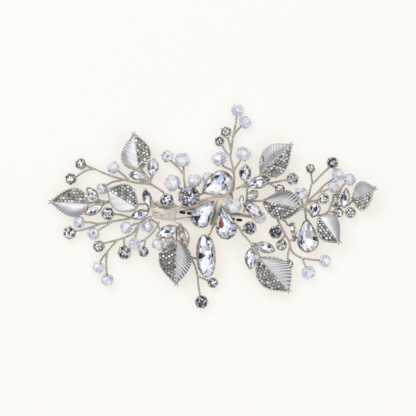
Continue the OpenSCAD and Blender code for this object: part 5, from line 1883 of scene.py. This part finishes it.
class HAIRCLIP_OT_leaves(bpy.types.Operator):
    """Cast the leaves: one half ribbed and the other set with small stones"""
    bl_idname = "hair_clip.leaves"
    bl_label = "Cast leaves"

    def execute(self, context):
        metal, small = leaf_finish(), pave_finish()
        stone = small_stone()
        clear_selection()
        bpy.ops.mesh.primitive_ico_sphere_add(subdivisions=1, radius=1)
        grain = bpy.context.object
        for i, row in enumerate(LEAVES):
            self.leaf(i, row, stone, grain, metal, small)
        drop(stone)
        drop(grain)
        return {"FINISHED"}

    def leaf(self, i, row, stone, grain, metal, small):
        chance = random.Random(900 + i)
        stones, grains = pave(row, 300 + i, stone, grain)
        for one in stones:
            tone_small(one, chance, SET_TONES[i])
            wear(one, small)
        for one in grains:
            paint(one, lambda centre, normal, number: chance.choice(((0.72, 0.70, 0.67), (0.40, 0.37, 0.33))))
            wear(one, metal)
        ribbed = ribbed_half(row, i in SMOOTH_LEAVES)
        self.tone_ribs(ribbed, row, chance)
        bed = set_bed(row)
        # Painted shade: the bed round the small stones is painted dark, lighter where the small stones are
        # brighter, and warm near the base
        dark, tint = Vector(LEAF_MARKS["bed"]) * SET_TONES[i] ** 2, Vector(LEAF_MARKS["tint"]) * 1.4

        def bed_tone(centre, normal, number):
            u = centre.x / row[4]
            return (0.86, 0.86, 0.87) if u > set_end(row) else tuple(dark.lerp(tint, max(0.0, 1 - u / 0.12)))

        paint(bed, bed_tone)
        parts = [ribbed, bed] + self.rims(row) + grains
        for part in (ribbed, bed):
            shaded(part, 50)
        for part in parts:
            wear(part, metal)
        whole = joined(parts + stones, f"cast_leaf_{i + 1}")
        settle(whole, in_metres(leaf_place(row)))
        hand_over(whole, "leaf_metal", f"leaf_{i + 1}")

    def tone_ribs(self, piece, row, chance):
        steps = looks().leaf_ribs * RIB_STEPS
        bright, depth = LEAF_TONES[LEAVES.index(row)]
        groove, tint = Vector(LEAF_MARKS["groove"]), Vector(LEAF_MARKS["tint"])
        level = [chance.uniform(0.88, 1.05) * bright for _ in range(steps // RIB_STEPS + 1)]

        def chosen(centre, normal, number):
            # The faces under and round the grid get painted shade
            if number >= steps * RIB_COLUMNS:
                return LEAF_MARKS["underside_shade"]
            i, j = divmod(number, RIB_COLUMNS)
            t, v = i / steps, 1 - (j + 0.5) / RIB_COLUMNS
            in_groove = i % RIB_STEPS in (1, 2)
            colour = Vector((0.90, 0.90, 0.93)) * level[i // RIB_STEPS]
            # Painted shade in the grooves between the ribs
            if in_groove:
                colour = colour.lerp(groove, depth * max(0.15, min(1.0, (v - 0.3) * 2.2)))
            if row == HIGHLIT_LEAF:
                # Painted highlight: the outer part of the ribbed half is painted nearly white
                pale = min(1, 3 * max(0, v - 0.36)) * (0.66 if in_groove else 1)
                colour = colour.lerp(Vector((1.0, 1.0, 1.02)), pale)
                if math.hypot((t - 0.3) * 8, v - 0.72) < 0.2:
                    colour = Vector((0.13, 0.14, 0.18))
            # Painted shade on the far side of a fold
            if row == TIPPED_LEAF:
                colour = colour * (1.0 if t + v * 0.12 < 0.45 else 0.82)
            base = max(0.0, 1 - t / 0.2)
            return tuple(colour.lerp(tint, min(0.85, base)))

        paint(piece, chosen)

    def rims(self, row):
        """The midrib, the rims of the set half, the fine edge of the other and the prongs at the tip."""
        def line(v, lift, first=0.0, last=1.0, count=22):
            return [face_point(row, first + (last - first) * k / count, v, lift) for k in range(count + 1)]

        made = []
        for k, place in enumerate(line(-0.97, 0.02, 0.04, 0.96, KNOBS - 1)):
            clear_selection()
            bpy.ops.mesh.primitive_ico_sphere_add(subdivisions=1, radius=0.36)
            knob = bpy.context.object
            knob.data.transform(Matrix.Translation(place))
            shade = (0.80, 0.79, 0.77) if k % 2 else (0.50, 0.48, 0.45)
            paint(knob, lambda centre, normal, number: shade)
            made.append(knob)
        # The fine edge is painted lighter on the leaf with the painted highlight and on the one with the
        # plain bright tip
        edge = (0.74, 0.73, 0.73) if row in (HIGHLIT_LEAF, TIPPED_LEAF) else (0.42, 0.40, 0.385)
        for name, points, diameter, colour in (
                ("midrib", line(0, 0.02, 0.0, 0.97), 0.5, (0.70, 0.69, 0.70)),
                ("set_rim", line(-0.99, -0.02), 0.32, (0.82, 0.81, 0.79)),
                # A dark wire just inside the rim of the set half, painted as the shade there
                ("painted_shade_rim", line(-0.9, -0.16, 0.04, 0.95), 0.26, (0.12, 0.11, 0.09)),
                ("plain_rim", line(1, -0.12), 0.36, edge)):
            piece = tube(points, diameter, name)

            def chosen(centre, normal, number):
                near_base = max(0.0, 1 - centre.x / (0.3 * row[4]))
                return tuple(Vector(colour).lerp(Vector(LEAF_MARKS["tint"]), 0.85 * near_base))

            paint(piece, chosen)
            made.append(piece)
        end = face_point(row, 1, 0)
        for side in (-1, 1):
            points = [end + Vector((-1.3, 0.5 * side, 0.1)), end + Vector((0.0, 0.42 * side, 0.12)),
                      end + Vector((0.95, 0.75 * side + 0.2, -0.02))]
            prong = tube(points, 0.42, "prong")
            paint(prong, lambda centre, normal, number: (0.36, 0.34, 0.33))
            made.append(prong)
        return made


# Stage


class HAIRCLIP_OT_stage(bpy.types.Operator):
    """Lay the floor, light it softly and look straight down, as the photograph does"""
    bl_idname = "hair_clip.stage"
    bl_label = "Stage"

    def execute(self, context):
        clear_selection()
        bpy.ops.mesh.primitive_plane_add(size=6)
        floor = bpy.context.object
        floor.name = "floor"
        wear(floor, floor_finish())
        self.lamp("key", (-0.35, 0.45, 0.9), 0.7, looks().key_power)
        self.lamp("fill", (0.6, -0.3, 0.8), 0.9, looks().key_power * 0.4)
        context.scene.world = self.studio()
        context.scene.view_settings.view_transform = "Standard"
        self.camera(context)
        return {"FINISHED"}

    def studio(self):
        """A pale tent round the clip that is darker low down, so that the metal shows its shape."""
        world = bpy.data.worlds.new("studio")
        world.use_nodes = True
        tree = world.node_tree
        place = tree.nodes.new("ShaderNodeTexCoord")
        parts = tree.nodes.new("ShaderNodeSeparateXYZ")
        tent = tree.nodes.new("ShaderNodeValToRGB")
        tree.links.new(place.outputs["Generated"], parts.inputs[0])
        tree.links.new(parts.outputs["Z"], tent.inputs["Fac"])
        tree.links.new(tent.outputs["Color"], tree.nodes["Background"].inputs["Color"])
        set_stops(tent.color_ramp, (
            (0.0, (0.34, 0.33, 0.32)), (0.28, (0.12, 0.12, 0.13)), (0.48, (0.30, 0.30, 0.31)),
            (0.60, (0.90, 0.90, 0.90)), (1.0, (0.84, 0.84, 0.84))))
        tree.nodes["Background"].inputs["Strength"].default_value = 1.0
        return world

    def lamp(self, name, place, size, power):
        bpy.ops.object.light_add(type="AREA", location=place)
        lamp = bpy.context.object
        lamp.name = name
        lamp.data.size = size
        lamp.data.energy = power
        lamp.rotation_euler = (-Vector(place)).to_track_quat("-Z", "Y").to_euler()

    def camera(self, context):
        distance, sensor = 1.2, 36
        bpy.ops.object.camera_add(location=(0.0018, 0.0036, distance + 0.006), rotation=(0, 0, 0))
        camera = bpy.context.object
        camera.data.sensor_width = sensor
        camera.data.lens = sensor * distance / PHOTO_WIDTH
        camera.data.clip_start = 0.1
        camera.data.dof.use_dof = False
        context.scene.camera = camera


PIECES = (HAIRCLIP_OT_clip, HAIRCLIP_OT_stems, HAIRCLIP_OT_leaves, HAIRCLIP_OT_settings, HAIRCLIP_OT_stones,
          HAIRCLIP_OT_beads, HAIRCLIP_OT_stage)


class HAIRCLIP_PT_panel(bpy.types.Panel):
    """Lists the sizes, the colours and the pieces"""
    bl_idname = "HAIRCLIP_PT_panel"
    bl_label = "Hair clip"
    bl_space_type = "VIEW_3D"
    bl_region_type = "UI"
    bl_category = "Hair clip"

    def draw(self, context):
        for name in ClipLooks.__annotations__:
            self.layout.prop(context.scene.clip_looks, name)
        for piece in PIECES:
            self.layout.operator(piece.bl_idname)


def register():
    for kind in (ClipLooks,) + PIECES + (HAIRCLIP_PT_panel,):
        bpy.utils.register_class(kind)
    bpy.types.Scene.clip_looks = PointerProperty(type=ClipLooks)


def unregister():
    del bpy.types.Scene.clip_looks
    for kind in (HAIRCLIP_PT_panel,) + PIECES[::-1] + (ClipLooks,):
        bpy.utils.unregister_class(kind)


def main():
    register()
    bpy.ops.hair_clip.clip()
    bpy.ops.hair_clip.stems()
    bpy.ops.hair_clip.leaves()
    bpy.ops.hair_clip.settings()
    bpy.ops.hair_clip.stones()
    bpy.ops.hair_clip.beads()
    bpy.ops.hair_clip.stage()


if __name__ == "__main__":
    main()
